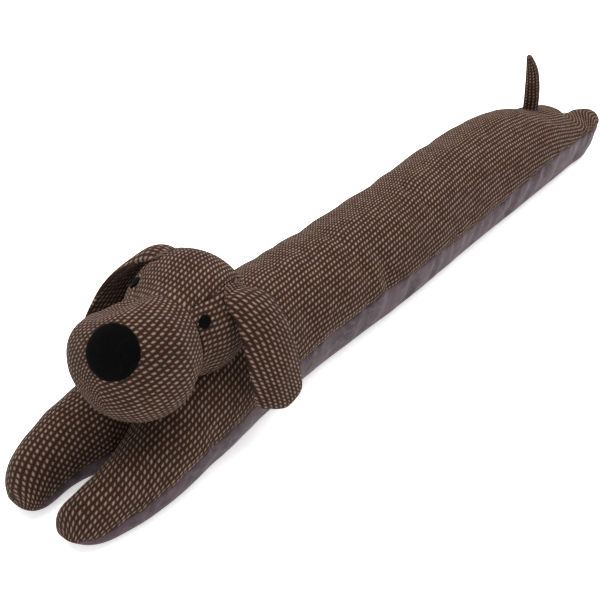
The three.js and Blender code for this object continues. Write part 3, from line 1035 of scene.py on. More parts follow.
    def from_tips(self, points: np.ndarray) -> np.ndarray:
        """Distance of points along the body from the tip of the limb on their side.

        Args:
            points: Points of the skin.

        Returns:
            The distances in millimetres, to the paw's tip or the foot's, whichever is nearer.
        """
        x, y = points[:, 0], points[:, 1]
        paw = np.where(y > self.front_slit.line, self.paws[Side.RIGHT].tip, self.paws[Side.LEFT].tip)
        foot = np.where(y > self.rear_slit.line, self.feet[Side.RIGHT].tip, self.feet[Side.LEFT].tip)
        return np.minimum(x - paw, foot - x)

    def relax(self, piece: Piece, top: bool) -> None:
        """Draws a panel in at the seam and the folds, and makes its stuffing a little uneven.

        Args:
            piece: The panel.
            top: The top panel, or else the underside.
        """
        points, normals = read_points(piece)
        x, z = points[:, 0], points[:, 2]
        inwards = self.seam_pull(points) + (self.folds(points) if top else self.pleats(points))
        (broad, broad_width), (small, small_width) = self.broad_lumps, self.small_lumps
        lumps = broad * soft_noise(points, broad_width, 3) + small * soft_noise(points, small_width, 5)
        under_head = smooth(x, *self.head_front) * (1.0 - smooth(x, *self.head_back))
        lumps = blend(lumps, np.minimum(lumps - self.pressed, 0.0), under_head)
        moving = smooth(self.from_tips(points), *self.tip_still)
        move = (lumps - inwards) * moving * smooth(z, *self.floor_still)
        # The level faces at the seam only move sideways, so that the gap between the panels stays.
        outwards = normals.copy()
        inner_face = np.abs(z - along(self.sections, x, 3) - off_seam(top)) < 0.01
        outwards[inner_face, 2] = 0.0
        points = points + outwards * move[:, None]
        # The foot of the body is the floor, half a gap below the maker's own zero.
        points[:, 2] = np.maximum(points[:, 2], -GAP / 2)
        write_points(piece, points)

    def build(self, tweed: Material, velour: Material) -> None:
        """Makes the top panel and the underside.

        Args:
            tweed: Material of the top.
            velour: Material of the underside.
        """
        for top, name, material, slot in (
            (True, "body_top", tweed, Slot.TWEED),
            (False, "body_underside", velour, Slot.VELOUR),
        ):
            piece = make_mesh(f"{name}_{slot.value}", self.grids(top))
            self.relax(piece, top)
            finish_piece(piece, material, name)


@dataclass(frozen=True)
class Patch:
    """A round felt patch on the head: its place, facing, radius and thickness in millimetres."""

    place: np.ndarray
    facing: np.ndarray
    radius: float
    thick: float


@dataclass
class HeadForm:
    """The stuffed head: the crown over the skull, two cheeks, the muzzle, nose and eyes."""

    body: BodyForm
    # Room kept between the head and what touches it.
    clear: float = 1.0
    skull: np.ndarray = field(default_factory=lambda: np.array([-278.0, 0.0, 122.0]))
    muzzle: np.ndarray = field(default_factory=lambda: np.array([-349.0, -14.0, 131.0]))
    # Columns: distance along the head's axis, half width, height above and depth below the axis.
    sections: np.ndarray = field(
        default_factory=lambda: np.array(
            [
                [-52, 0, 0, 0],
                [-46, 23, 23, 23],
                [-34, 39, 39, 39],
                [-16, 50, 51, 51],
                [4, 54, 54.5, 55],
                [22, 51, 51, 53],
                [40, 45, 48, 46],
                [58, 49, 50, 49],
                [76, 55, 53, 54],
                [94, 50, 49, 51],
                [108, 39.5, 39, 41],
                [118, 26, 26, 27],
                [123, 12, 12, 12],
                [124.5, 0, 0, 0],
            ],
            dtype=float,
        )
    )
    # Where the right of the brow is drawn in: share of the radius, middle and spread of the angle
    # in degrees, and middle and spread along the axis.
    brow_dent: tuple[float, float, float, float, float] = (0.34, 120.0, 35.0, 70.0, 36.0)
    # The muzzle seam along the axis: at the top, at the sides and underneath.
    seam_top: float = 52.0
    seam_side: float = 43.0
    seam_under: float = 52.0
    # The cheek panels: from behind the ear to the muzzle seam, between two angles round the axis.
    cheek_back: float = -24.0
    cheek_low: float = -50.0
    cheek_high: float = 47.0
    cheek_thick: float = 12.0
    # How deep the muzzle seam is drawn in at the sides and below, how deep on top, and how wide:
    # on the crown's side of it and on the muzzle's.
    crown_dip: tuple[float, float, float] = (2.4, 0.7, 3.2)
    muzzle_dip: tuple[float, float, float] = (3.2, 0.7, 3.4)
    # Swelling of the muzzle behind its seam: height, distance and width.
    swell: tuple[float, float, float] = (1.4, 13.0, 8.0)
    # Depth and width of the dips along a cheek's edge, in the crown and in the cheek, and how far
    # the whole cheek is drawn in.
    cheek_rim: tuple[float, float] = (0.9, 3.0)
    cheek_dip: tuple[float, float] = (1.1, 3.0)
    cheek_drawn: float = 0.4
    # Margins inside a cheek's edges of its outer and of its inner face, and its steps.
    cheek_margins: tuple[float, float] = (0.4, 1.4)
    cheek_steps: tuple[int, int] = (70, 80)
    # Depth and width of the chin seam's groove.
    chin: tuple[float, float] = (1.3, 2.4)
    # The muzzle's cloth: centre along the axis and radius of the ball that it is pulled over, where
    # its left side faces (forwards, left, up), and the way of its length there.
    muzzle_centre: float = 76.0
    muzzle_radius: float = 52.0
    muzzle_facing: tuple[float, float, float] = (0.48, 0.80, 0.25)
    muzzle_way: tuple[float, float, float] = (0.93, -0.20, 0.33)
    # Where the muzzle's left and right maps agree (forwards, up), and the places across, in radii,
    # between which they are mixed.
    muzzle_shared: tuple[float, float] = (0.65, 0.76)
    muzzle_mixed: tuple[float, float] = (-0.35, 0.15)
    # The crown's cloth in the same way, in the maker's frame, and how far the brow pushes its weave
    # together across.
    crown_centre: float = 4.0
    crown_radius: float = 54.0
    crown_facing: tuple[float, float, float] = (-0.1, -0.25, 0.96)
    crown_way: tuple[float, float, float] = (1.0, 0.16, 0.1)
    crown_pushed: float = 1.13
    nose_facing: tuple[float, float, float] = (-0.7, -0.36, 0.65)
    nose_distance: float = 50.0
    nose_size: tuple[float, float] = (21.5, 1.4)
    eyes: dict[Side, tuple[float, float, float]] = field(
        default_factory=lambda: {Side.LEFT: (-303.0, -46.0, 150.0), Side.RIGHT: (-309.0, 30.0, 156.0)}
    )
    eye_size: tuple[float, float] = (5.6, 1.2)
    # Height and width of the stuffing's broad and small lumps.
    broad_lumps: tuple[float, float] = (0.7, 52.0)
    small_lumps: tuple[float, float] = (0.25, 17.0)
    rings: int = 150
    ring_points: int = 192
    fill: float = 0.85
    cheek_fill: float = 0.8

    def axes(self) -> tuple[np.ndarray, np.ndarray, np.ndarray]:
        """The head's own directions: forwards, to its left and up."""
        forward = unit(self.muzzle - self.skull)
        left = unit(np.cross(UPRIGHT, forward))
        return forward, left, np.cross(forward, left)

    def ends(self) -> tuple[float, float]:
        """Where the head starts behind and ends in front, along its axis."""
        return self.sections[0, 0], self.sections[-1, 0]

    def ring_angles(self) -> np.ndarray:
        """Even angles all the way round the axis, from underneath."""
        return np.linspace(-math.pi / 2, 1.5 * math.pi, self.ring_points + 1)

    def seam_at(self, angle: np.ndarray) -> np.ndarray:
        """Distance along the axis of the muzzle seam at an angle round it, 90 degrees at the top."""
        rise = np.sin(angle)
        end = np.where(rise > 0, self.seam_top, self.seam_under)
        return self.seam_side + (end - self.seam_side) * rise**2

    def radius_point(self, s: np.ndarray, angle: np.ndarray, inset: np.ndarray) -> np.ndarray:
        """Point of the head: an oval ring about the axis, taller or deeper by its own columns.

        Args:
            s: Distance along the axis.
            angle: Angle round the axis, 0 at the left and 90 degrees at the top.
            inset: How far the point is drawn in towards the axis.

        Returns:
            The points.
        """
        forward, left, up = self.axes()
        depth, middle, turn, place, reach = self.brow_dent
        turned = (np.degrees(angle) - middle + 180.0) % 360.0 - 180.0
        full = 1.0 - depth * np.exp(-((turned / turn) ** 2) - ((s - place) / reach) ** 2)
        wide, over, under = (full * along(self.sections, s, c) for c in (1, 2, 3))
        tall = np.where(np.sin(angle) > 0, over, under)
        inset = np.minimum(inset, np.minimum(wide, tall))
        sideways = (wide - inset) * np.cos(angle)
        upwards = (tall - inset) * np.sin(angle)
        return (
            self.skull
            + s[..., None] * forward
            + sideways[..., None] * left
            + upwards[..., None] * up
        )

    def cheek_depth(self, s: np.ndarray, angle: np.ndarray) -> np.ndarray:
        """Distance in from a cheek panel's edge, in millimetres, negative outside it.

        Args:
            s: Distance along the axis.
            angle: Angle round the axis.

        Returns:
            The distances to the nearest of the panel's four edges.
        """
        turned = np.degrees(np.arctan2(np.sin(angle), np.abs(np.cos(angle))))
        size = np.radians(1.0) * np.maximum(along(self.sections, s, 1), 1.0)
        return np.minimum.reduce(
            [
                s - self.cheek_back,
                self.seam_at(angle) - s,
                (self.cheek_high - turned) * size,
                (turned - self.cheek_low) * size,
            ]
        )

    def cloth_round(
        self, points: np.ndarray, centre: np.ndarray, facing: np.ndarray, way: np.ndarray, size: float
    ) -> np.ndarray:
        """Flat places of cloth pulled over a ball: true distance and direction from where it faces.

        Args:
            points: Points on the ball.
            centre: The ball's centre.
            facing: Direction in which the cloth lies undistorted.
            way: Direction of the cloth's length there.
            size: The ball's radius.

        Returns:
            The places in millimetres.
        """
        ways = unit(points - centre)
        facing = unit(facing)
        length = unit(way - (way @ facing) * facing)
        across = np.cross(facing, length)
        turn = np.arccos(np.clip(ways @ facing, -1.0, 1.0))
        scale = size * turn / np.maximum(np.sin(turn), 1e-4)
        return np.stack([scale * (ways @ length), scale * (ways @ across)], axis=-1)

    def muzzle_cloth(self, points: np.ndarray) -> np.ndarray:
        """Flat places of the muzzle's cloth, wrapped from its left side over its top to its right.

        Each side is a map about its own middle. The right one is turned and shifted so that both
        agree above the nose, and they are mixed across the top.

        Args:
            points: Points of the muzzle.

        Returns:
            The places in millimetres.
        """
        forward, left, up = self.axes()
        centre = self.skull + self.muzzle_centre * forward
        size = self.muzzle_radius
        way = np.array(self.muzzle_way)
        ahead, aside, above = self.muzzle_facing
        facing_left = ahead * forward + aside * left + above * up
        facing_right = facing_left - 2.0 * (facing_left @ left) * left
        # Where both maps agree, with a step to each side of it to find how they are turned.
        shared = centre + size * unit(self.muzzle_shared[0] * forward + self.muzzle_shared[1] * up)
        step = 2.0
        nearby = np.stack([shared, shared + step * left, shared - step * left])
        on_left = self.cloth_round(nearby, centre, facing_left, way, size)
        on_right = self.cloth_round(nearby, centre, facing_right, way, size)
        turn_left, turn_right = on_left[1] - on_left[2], on_right[1] - on_right[2]
        angle = math.atan2(turn_left[1], turn_left[0]) - math.atan2(turn_right[1], turn_right[0])
        spin = np.array([[math.cos(angle), -math.sin(angle)], [math.sin(angle), math.cos(angle)]])
        first = self.cloth_round(points, centre, facing_left, way, size)
        second = self.cloth_round(points, centre, facing_right, way, size)
        second = (second - on_right[0]) @ spin.T + on_left[0]
        share = smooth((points - centre) @ left / size, *self.muzzle_mixed)[..., None]
        return blend(second, first, share)

    def close_rings(self, skin: np.ndarray, hub_at: float, front: bool) -> np.ndarray:
        """Rings of a ball's skin, closed by the hidden disc at the seam.

        Args:
            skin: Points of the skin, a row for each ring.
            hub_at: Distance along the axis of the disc's middle.
            front: Whether the disc closes the last ring, or else the first.

        Returns:
            The rings of the skin and the disc.
        """
        hub = self.skull + hub_at * self.axes()[0]
        share = np.linspace(0.0, 1.0, 9)[:, None, None]
        disc = blend(skin[-1:] if front else skin[:1], hub, share)
        return np.concatenate([skin, disc[1:]] if front else [disc[::-1][:-1], skin])

    def push_out(self, points: np.ndarray) -> np.ndarray:
        """Moves points that lie in the head straight out from its axis, just clear of its skin.

        Args:
            points: Points of a neighbouring piece.

        Returns:
            The points, those inside moved.
        """
        forward, left, up = self.axes()
        offset = points - self.skull
        s, sideways, upwards = offset @ forward, offset @ left, offset @ up
        skin = self.radius_point(s, np.arctan2(upwards, sideways), np.zeros_like(s)) - self.skull
        room = np.hypot(skin @ left, skin @ up) + self.clear
        reach = np.hypot(sideways, upwards)
        start, end = self.ends()
        inside = (reach < room) & (s > start) & (s < end)
        scale = np.where(inside, room / np.maximum(reach, 1e-6), 1.0)
        return points + ((scale - 1.0) * sideways)[:, None] * left + ((scale - 1.0) * upwards)[:, None] * up

    def seam_dip(self, away: np.ndarray, angle: np.ndarray, dip: tuple[float, float, float]) -> np.ndarray:
        """Depth of the muzzle seam's groove on one side of it: a bell, shallower over the top.

        Args:
            away: Distance from the seam.
            angle: Angle round the axis.
            dip: Depth at the sides and below, depth on top, and width.

        Returns:
            The depths in millimetres.
        """
        deep, deep_top, wide = dip
        return blend(deep, deep_top, self.over_top(angle)) * bell(away, wide)

    def over_top(self, angle: np.ndarray) -> np.ndarray:
        """Share of the top of the head: 0 at the sides and below, 1 over the top."""
        return smooth(np.sin(angle), 0.2, 0.8)

    def crown_inset(self, s: np.ndarray, angle: np.ndarray) -> np.ndarray:
        """How far the crown's skin is drawn in: bell shaped dips at its seams, and hollow cheeks.

        Args:
            s: Distance along the axis.
            angle: Angle round the axis.

        Returns:
            The depths in millimetres.
        """
        cheek = self.cheek_depth(s, angle)
        deep, wide = self.cheek_rim
        dip = self.seam_dip(self.seam_at(angle) - s, angle, self.crown_dip)
        dip = dip + deep * bell(np.minimum(cheek, 0.0), wide)
        return dip + self.cheek_thick * smooth(cheek, 0.0, 0.8)

    def cheek_inset(self, s: np.ndarray, angle: np.ndarray) -> np.ndarray:
        """How far a cheek's skin is drawn in: a little all over, and a bell at its edges."""
        deep, wide = self.cheek_dip
        return self.cheek_drawn + deep * bell(np.maximum(self.cheek_depth(s, angle), 0.0), wide)

    def muzzle_inset(self, s: np.ndarray, angle: np.ndarray) -> np.ndarray:
        """How far the muzzle's skin is drawn in: a bell at its seam, and the groove of the chin.

        Args:
            s: Distance along the axis.
            angle: Angle round the axis.

        Returns:
            The depths in millimetres, less where it swells behind the seam.
        """
        from_seam = s - self.seam_at(angle)
        height, distance, width = self.swell
        swell = blend(height, 0.0, self.over_top(angle)) * bell(from_seam - distance, width)
        wide = along(self.sections, s, 1)
        from_chin = np.arccos(np.clip(-np.sin(angle), -1.0, 1.0)) * wide
        deep, narrow = self.chin
        groove = deep * bell(from_chin, narrow) * smooth(wide, 4.0, 14.0)
        return self.seam_dip(from_seam, angle, self.muzzle_dip) - swell + groove

    def stuffing(self, s: np.ndarray, angle: np.ndarray) -> np.ndarray:
        """Soft unevenness of the stuffed head, in millimetres of inset."""
        points = self.radius_point(s, angle, np.zeros_like(s))
        (broad, broad_width), (small, small_width) = self.broad_lumps, self.small_lumps
        return broad * soft_noise(points, broad_width, 31) + small * soft_noise(points, small_width, 32)

    def skin(self, s: np.ndarray, angle: np.ndarray, inset: np.ndarray) -> np.ndarray:
        """Points of a piece's stuffed skin, drawn in by the inset and a little uneven."""
        return self.radius_point(s, angle, inset + self.stuffing(s, angle))

    def rest_on_body(self, points: np.ndarray) -> np.ndarray:
        """Lifts points of the head that would lie in the body just clear of its skin."""
        lifted = points.copy()
        floor = self.body.height_at(points[..., 0], points[..., 1]) + self.clear
        lifted[..., 2] = np.maximum(points[..., 2], floor)
        return lifted

    def crown_piece(self) -> Piece:
        """The crown: the skull's skin up to the muzzle seam, hollowed where the cheeks are set in."""
        low, high = self.cheek_low, self.cheek_high
        # Two rows close to each edge of the hollows keep the edges sharp.
        edges = np.radians([low - 0.1, low + 0.9, high - 0.9, high + 0.1])
        angle = np.unique(np.concatenate([self.ring_angles(), edges, math.pi - edges]))[None, :]
        start, _ = self.ends()
        end = self.seam_at(angle) - GAP / 2
        # Rings lie closer together at both ends, over nearly half a turn of a cosine.
        turn = 0.97 * math.pi
        way = np.linspace(0.0, 1.0, self.rings)[:, None]
        s = start + (end - start) * (1.0 - np.cos(turn * way)) / (1.0 - math.cos(turn))
        angle = np.broadcast_to(angle, s.shape)
        points = self.close_rings(self.skin(s, angle, self.crown_inset(s, angle)), self.seam_side, True)
        centre = self.skull + self.crown_centre * self.axes()[0]
        cloth = self.cloth_round(
            points, centre, np.array(self.crown_facing), np.array(self.crown_way), self.crown_radius
        )
        cloth = cloth * np.array([1.0, self.crown_pushed])
        return make_mesh("head_crown_tweed", [Grid(self.rest_on_body(points), cloth)])

    def cheek_face(self, side: Side, margin: float, inner: bool) -> np.ndarray:
        """One face of a cheek panel, as rows along the axis and columns round it.

        Args:
            side: Which cheek.
            margin: How far inside the panel's edges the face ends.
            inner: The inner face, or else the skin.

        Returns:
            The points.
        """
        rows, columns = self.cheek_steps
        a = np.linspace(0.0, 1.0, rows)[:, None]
        b = np.linspace(0.0, 1.0, columns)[None, :]
        turned = np.radians(self.cheek_low + margin + (self.cheek_high - self.cheek_low - 2.0 * margin) * b)
        angle = turned if side is Side.LEFT else np.pi - turned
        start, end = self.cheek_back + margin, self.seam_at(angle) - margin
        s = start + (end - start) * a
        angle = np.broadcast_to(angle, s.shape)
        return self.skin(s, angle, self.cheek_thick - 2.0 * GAP if inner else self.cheek_inset(s, angle))

    def cheek_piece(self, side: Side) -> Piece:
        """A cheek panel: a soft pad whose skin dips towards its edges, over a curved inner face.

        Args:
            side: Which cheek.

        Returns:
            The piece.
        """
        outer_margin, inner_margin = self.cheek_margins
        outer = self.cheek_face(side, outer_margin, False)
        inner = self.cheek_face(side, inner_margin, True)
        middle = outer.shape[1] // 2
        around = arc_length(outer, 1)
        around = around - around[:, middle][:, None]
        length = arc_length(outer, 0)[:, middle][:, None]
        cloth = np.stack([np.broadcast_to(-length, around.shape), around], axis=-1)
        if side is Side.RIGHT:
            cloth = cloth * np.array([1.0, -1.0])
        outer, inner = self.rest_on_body(outer), self.rest_on_body(inner)
        share = np.linspace(0.0, 1.0, 4)[None, :, None]
        grids = [Grid(outer, cloth), Grid(inner, cloth)]
        for edge in (np.s_[0], np.s_[-1], np.s_[:, 0], np.s_[:, -1]):
            wall = blend(outer[edge][:, None], inner[edge][:, None], share)
            grids.append(Grid(wall, np.broadcast_to(cloth[edge][:, None], wall.shape[:2] + (2,))))
        return make_mesh(f"cheek_{side.name.lower()}_tweed", grids)

    def muzzle_piece(self) -> Piece:
        """The muzzle: a full ball from its seam to its front, with the chin seam's groove below."""
        angle = self.ring_angles()[None, :]
        start = self.seam_at(angle) + GAP / 2
        _, end = self.ends()
        way = np.linspace(0.0, 1.0, self.rings)[:, None]
        s = start + (end - start) * np.sin(way * math.pi / 2)
        angle = np.broadcast_to(angle, s.shape)
        skin = self.skin(s, angle, self.muzzle_inset(s, angle))
        points = self.close_rings(skin, self.seam_side + GAP, False)
        return make_mesh("muzzle_tweed", [Grid(self.rest_on_body(points), self.muzzle_cloth(points))])

    def drop_on(self, targets: np.ndarray, patch: Patch, inset: Inset) -> np.ndarray:
        """Points of the head's skin under flat targets, found by Newton steps on both parameters.

        Args:
            targets: Points on a plane across the patch's facing.
            patch: The patch, whose place is where the search starts.
            inset: How far the skin below is drawn in.

        Returns:
            The skin's points whose places across the facing direction match the targets'.
        """
        forward, left, up = self.axes()
        offset = patch.place - self.skull
        plane = np.stack(plane_across(patch.facing), axis=-1)
        s = np.full(targets.shape[:-1], offset @ forward)
        t = np.full(targets.shape[:-1], math.atan2(offset @ up, offset @ left))
        goal = targets @ plane
        none = np.zeros_like(s)
        small_s, small_t, longest_s, longest_t = 0.1, 0.002, 6.0, 0.3
        for _ in range(24):
            here = self.radius_point(s, t, none) @ plane
            ds = (self.radius_point(s + small_s, t, none) @ plane - here) / small_s
            dt = (self.radius_point(s, t + small_t, none) @ plane - here) / small_t
            miss = goal - here
            area = ds[..., 0] * dt[..., 1] - ds[..., 1] * dt[..., 0]
            area = np.where(np.abs(area) < 1e-3, 1e-3, area)
            move_s = (miss[..., 0] * dt[..., 1] - miss[..., 1] * dt[..., 0]) / area
            move_t = (ds[..., 0] * miss[..., 1] - ds[..., 1] * miss[..., 0]) / area
            s = np.clip(s + np.clip(move_s, -longest_s, longest_s), -50.0, 124.0)
            t = t + np.clip(move_t, -longest_t, longest_t)
        return self.skin(s, t, inset(s, t))

    def patch_piece(self, name: str, patch: Patch, inset: Inset) -> Piece:
        """A round felt patch: a disc laid on the head's skin, soft at its rim.

        Rings of the disc are dropped on the skin along its facing. The outer face stands off by
        its thickness times a flat topped arch of the distance from the middle.

        Args:
            name: Name of the piece.
            patch: Its place, facing and size.
            inset: How far the skin below is drawn in.

        Returns:
            The piece.
        """
        side, over = plane_across(patch.facing)
        share = np.sin(np.linspace(0.0, math.pi / 2, 26))[:, None]
        angle = np.linspace(0.0, 2.0 * math.pi, 97)[None, :]
        reach = patch.radius * share
        cloth = np.stack([reach * np.cos(angle), reach * np.sin(angle)], axis=-1)
        targets = patch.place + cloth[..., :1] * side + cloth[..., 1:] * over
        skin = self.drop_on(targets, patch, inset)
        rise = 2.0 * GAP + patch.thick * np.clip(1.0 - share**10, 0.0, 1.0) ** 0.5
        outer = skin + rise[..., None] * patch.facing
        inner = skin + GAP * patch.facing
        wall = np.stack([outer[-1], inner[-1]])
        grids = [Grid(outer, cloth), Grid(inner, cloth), Grid(wall, np.stack([cloth[-1], cloth[-1]]))]
        return make_mesh(name, grids)

    def build(self, tweed: Material, tweed_muzzle: Material, felt: Material) -> None:
        """Makes the head's pieces and dresses them.

        Args:
            tweed: Material of the crown and the cheeks.
            tweed_muzzle: Material of the muzzle.
            felt: Material of the nose and the eyes.
        """
        finish_piece(self.crown_piece(), tweed, "head_crown")
        finish_piece(self.muzzle_piece(), tweed_muzzle, "muzzle")
        for side in Side:
            node = f"cheek_{side.name.lower()}"
            finish_piece(self.cheek_piece(side), tweed, node)
        facing = unit(np.array(self.nose_facing))
        nose = Patch(self.muzzle + self.nose_distance * facing, facing, *self.nose_size)
        finish_piece(self.patch_piece("nose_felt", nose, self.muzzle_inset), felt, "nose")
        for side in Side:
            place = np.array(self.eyes[side])
            eye = Patch(place, unit(place - self.skull), *self.eye_size)
            node = f"eye_{side.name.lower()}"
            finish_piece(self.patch_piece(f"{node}_felt", eye, self.cheek_inset), felt, node)


@dataclass
class Ear:
    """A floppy ear: a soft two layer flap, sewn in at its root and rounded at its corners."""

    side: Side
    head: HeadForm
    # Columns: share of the length, front edge x, y, z, back edge x, y, z, and outward bulge.
    sections: np.ndarray
    thick: float = 8.0
    # How far the cloth's rows lean across the flap, in millimetres for each millimetre down it.
    askew: float = 0.16
    # Share of the length where the corners start, and the power of their rounding.
    rounded: float = 0.84
    bluntness: float = 2.5
    # Powers by which the thickness falls off round the rim and towards the tip.
    rim_power: float = 0.62
    tip_power: float = 0.7
    # Height and width of the flap's soft lumps.
    lumps: tuple[float, float] = (0.6, 34.0)
    rows: int = 120
    around: int = 112
    fill: float = 0.3

    def width(self, share: np.ndarray) -> np.ndarray:
        """From the front edge to the back edge, at a share of the length."""
        return point_along(self.sections, share, 4) - point_along(self.sections, share, 1)

    def middle(self, share: np.ndarray) -> np.ndarray:
        """Halfway between the front and the back edge, at a share of the length."""
        return 0.5 * (point_along(self.sections, share, 1) + point_along(self.sections, share, 4))

    def surface(self) -> tuple[np.ndarray, np.ndarray]:
        """The flap as rings round its width, from the sewn root to the tip.

        A ring lies between the front and the back edge at its share of the length. Its middle
        bulges outward as a parabola of the place across, and its thickness rises from the rim
        as a power of the sine round the ring. Towards the tip both shrink as a blunt corner.

        Returns:
            The points and their flat places.
        """
        share = np.sin(np.linspace(0.04, math.pi / 2, self.rows))
        width, centre = self.width(share), self.middle(share)
        normal = unit(np.cross(width, way_along(self.middle, share)))
        past = np.clip((share - self.rounded) / (1.0 - self.rounded), 0.0, 1.0)
        corner = (1.0 - past**self.bluntness) ** (1.0 / self.bluntness)
        angle = np.linspace(0.0, 2.0 * math.pi, self.around + 1)
        across = np.cos(angle)[None, :]
        swell = np.sign(np.sin(angle)) * np.abs(np.sin(angle)) ** self.rim_power
        thick = self.thick / 2 * corner[:, None] ** self.tip_power * swell[None, :]
        bulge = self.side.value * along(self.sections, share, 7)[:, None] * (1.0 - across**2)
        points = (
            centre[:, None]
            + (across * corner[:, None] / 2)[..., None] * width[:, None]
            + (bulge + thick)[..., None] * normal[:, None]
        )
        points = np.concatenate([np.broadcast_to(centre[:1, None], (1,) + points.shape[1:]), points])
        length = np.concatenate([[0.0], arc_length(centre[None], 1)[0]])
        flat = across * (np.linalg.norm(width, axis=-1) * corner)[:, None] / 2
        flat = -self.side.value * np.concatenate([flat[:1] * 0.0, flat])
        down = np.broadcast_to(length[:, None], flat.shape)
        cloth = np.stack([down + self.askew * flat, flat - self.askew * down], axis=-1)
        return points, cloth

    def build(self, tweed: Material) -> None:
        """Makes the ear, gives it a slightly uneven softness and keeps it clear of the head.

        Args:
            tweed: Material of the ear.
        """
        node = f"ear_{self.side.name.lower()}"
        piece = make_mesh(f"{node}_tweed", [Grid(*self.surface())])
        points, normals = read_points(piece)
        height, width = self.lumps
        lumps = height * soft_noise(points, width, 21 + self.side.value)
        write_points(piece, self.head.push_out(points + normals * lumps[:, None]))
        finish_piece(piece, tweed, node)


@dataclass
class Tail:
    """The thin stuffed tail that stands up from the rump."""

    # Columns: share of the length, x, y, z, radius.
    sections: np.ndarray = field(
        default_factory=lambda: np.array(
            [
                [0.0, 338, 13, 66, 9.6],
                [0.25, 337, 13, 88, 9.6],
                [0.5, 333, 13, 111, 9.2],
                [0.75, 325, 13, 135, 7.4],
                [1.0, 312, 14, 158, 3],
            ],
            dtype=float,
        )
    )
    # Share of the length over which the tip rounds off, and radius round which the cloth is laid.
    tip: float = 0.035
    cloth_radius: float = 9.2
    rows: int = 90
    around: int = 48
    fill: float = 0.8

    def middle(self, share: np.ndarray) -> np.ndarray:
        """The tail's bent middle line, at a share of the length."""
        return point_along(self.sections, share, 1)

    def build(self, tweed: Material) -> None:
        """Makes the tail: round rings along its bent middle line, closed at both ends.

        Args:
            tweed: Material of the tail.
        """
        share = np.linspace(0.0, 1.0, self.rows)
        centre = self.middle(share)
        way = unit(way_along(self.middle, share))
        across = np.broadcast_to(np.array([0.0, 1.0, 0.0]), way.shape)
        other = unit(np.cross(way, across))
        end = np.clip((1.0 - share) / self.tip, 0.0, 1.0)
        radius = along(self.sections, share, 4) * np.sqrt(1.0 - (1.0 - end) ** 2)
        angle = np.linspace(0.0, 2.0 * math.pi, self.around + 1)
        points = (
            centre[:, None]
            + (radius[:, None] * np.cos(angle))[..., None] * across[:, None]
            + (radius[:, None] * np.sin(angle))[..., None] * other[:, None]
        )
        points = np.concatenate([np.broadcast_to(centre[:1, None], (1,) + points.shape[1:]), points])
        length = np.concatenate([[0.0], arc_length(centre[None], 1)[0]])
        round_way = np.broadcast_to(self.cloth_radius * angle[None, :], points.shape[:2])
        cloth = np.stack([np.broadcast_to(length[:, None], round_way.shape), round_way], axis=-1)
        finish_piece(make_mesh("tail_tweed", [Grid(points, cloth)]), tweed, "tail")


@dataclass(frozen=True)
class Softbox:
    """A square area light: where it hangs and what it is aimed at, in metres, its size and power."""

    name: str
    place: tuple[float, float, float]
    aim: tuple[float, float, float]
    size: float
    power: float

    def build(self) -> None:
        """Hangs the light."""
        light = bpy.data.lights.new(self.name, "AREA")
        light.energy = self.power
        light.size = self.size
        lamp = bpy.data.objects.new(self.name, light)
        lamp.location = self.place
        lamp.rotation_euler = (Vector(self.aim) - Vector(self.place)).to_track_quat("-Z", "Y").to_euler()
        bpy.context.scene.collection.objects.link(lamp)


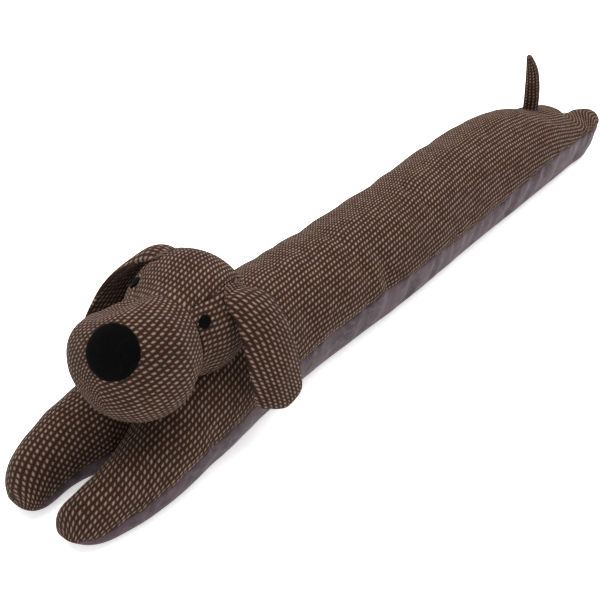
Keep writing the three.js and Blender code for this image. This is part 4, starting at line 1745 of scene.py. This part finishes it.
@dataclass(frozen=True)
class Studio:
    """The floor, the lights and the camera."""

    # Where the camera stands and what it looks at, in the maker's frame, and its lens and sensor.
    eye: tuple[float, float, float] = (-682.4, -464.4, 597.7)
    target: tuple[float, float, float] = (-115.6, 16.2, 31.6)
    lens: float = 55.11
    sensor: float = 36.0
    # Half the floor's width in metres, and the strength of the white walls' light.
    reach: float = 6.0
    walls: float = 0.72
    lights: tuple[Softbox, ...] = (
        Softbox("overhead_softbox", (0.25, 0.25, 1.9), (0.0, 0.0, 0.0), 2.4, 80.0),
        Softbox("front_fill", (-1.3, -1.2, 1.3), (-0.1, 0.0, 0.05), 1.6, 5.0),
    )

    def lay_floor(self, table: Material) -> None:
        """Lays the floor as one square.

        Args:
            table: Material of the floor.
        """
        reach = self.reach
        corners = [(-reach, -reach, 0.0), (reach, -reach, 0.0), (reach, reach, 0.0), (-reach, reach, 0.0)]
        mesh = bpy.data.meshes.new("floor")
        mesh.from_pydata(corners, [], [(0, 1, 2, 3)])
        mesh.materials.append(table)
        floor = bpy.data.objects.new("floor", mesh)
        bpy.context.scene.collection.objects.link(floor)

    def light_walls(self) -> None:
        """Fills the room with even white light."""
        world = bpy.data.worlds.new("studio")
        world.use_nodes = True
        background = world.node_tree.nodes["Background"]
        background.inputs["Color"].default_value = linear("#ffffff")
        background.inputs["Strength"].default_value = self.walls
        bpy.context.scene.world = world

    def set_camera(self) -> None:
        """Sets up the camera."""
        camera = bpy.data.cameras.new("camera")
        camera.lens = self.lens
        camera.sensor_width = self.sensor
        camera.clip_start, camera.clip_end = 0.01, 50.0
        holder = bpy.data.objects.new("camera", camera)
        eye, target = Vector(to_row(np.array(self.eye))), Vector(to_row(np.array(self.target)))
        holder.location = eye
        holder.rotation_euler = (target - eye).to_track_quat("-Z", "Y").to_euler()
        scene = bpy.context.scene
        scene.collection.objects.link(holder)
        scene.camera = holder
        scene.view_settings.view_transform = "Standard"

    def build(self, table: Material) -> None:
        """Lays the floor, hangs the lights and sets up the camera.

        Args:
            table: Material of the floor.
        """
        self.lay_floor(table)
        self.light_walls()
        for light in self.lights:
            light.build()
        self.set_camera()
        LOG.info("studio: floor, %d lights and camera", len(self.lights))


# Columns as in Ear. The left ear hangs over the flank, and the right one curls forward.
EARS = {
    Side.LEFT: [
        [0.0, -279, -22, 146, -252, -22, 141, 0],
        [0.2, -281, -46, 152, -241, -52, 146, 3],
        [0.4, -283, -64, 134, -237, -70, 128, 5],
        [0.6, -287, -75, 106, -235, -80, 101, 5],
        [0.8, -286, -80, 76, -234, -85, 66, 4],
        [1.0, -281, -82, 56, -236, -86, 45, 3],
    ],
    Side.RIGHT: [
        [0.0, -288, 12, 158, -256, 14, 152, 0],
        [0.2, -287, 38, 162, -256, 43, 156, 3],
        [0.4, -299, 57, 150, -258, 60, 142, 3],
        [0.6, -316, 66, 136, -268, 67, 122, 2],
        [0.8, -328, 73, 114, -281, 70, 99, 2],
        [1.0, -339, 81, 83, -296, 74, 72, 2],
    ],
}


def main() -> None:
    """Builds the draught excluder in order, and reports each piece."""
    logging.basicConfig(level=logging.INFO, format="%(name)s %(message)s")
    tweed = Tweed().build()
    # The muzzle is cut across the cloth, so its dots slant the other way.
    across = Tweed("tweed_wool_woven_reverse", yarn=Yarn(0.42, 0.21, -24.0), tail=Yarn(0.52, 0.13, 42.0))
    tweed_muzzle = across.build()
    velour = Velour().build()
    felt = Felt().build()
    Studio().build(PaintedGlowFloor().build())
    body = BodyForm()
    body.build(tweed, velour)
    head = HeadForm(body)
    head.build(tweed, tweed_muzzle, felt)
    for side, rows in EARS.items():
        Ear(side, head, np.array(rows, dtype=float)).build(tweed)
    Tail().build(tweed)


if __name__ == "__main__":
    main()
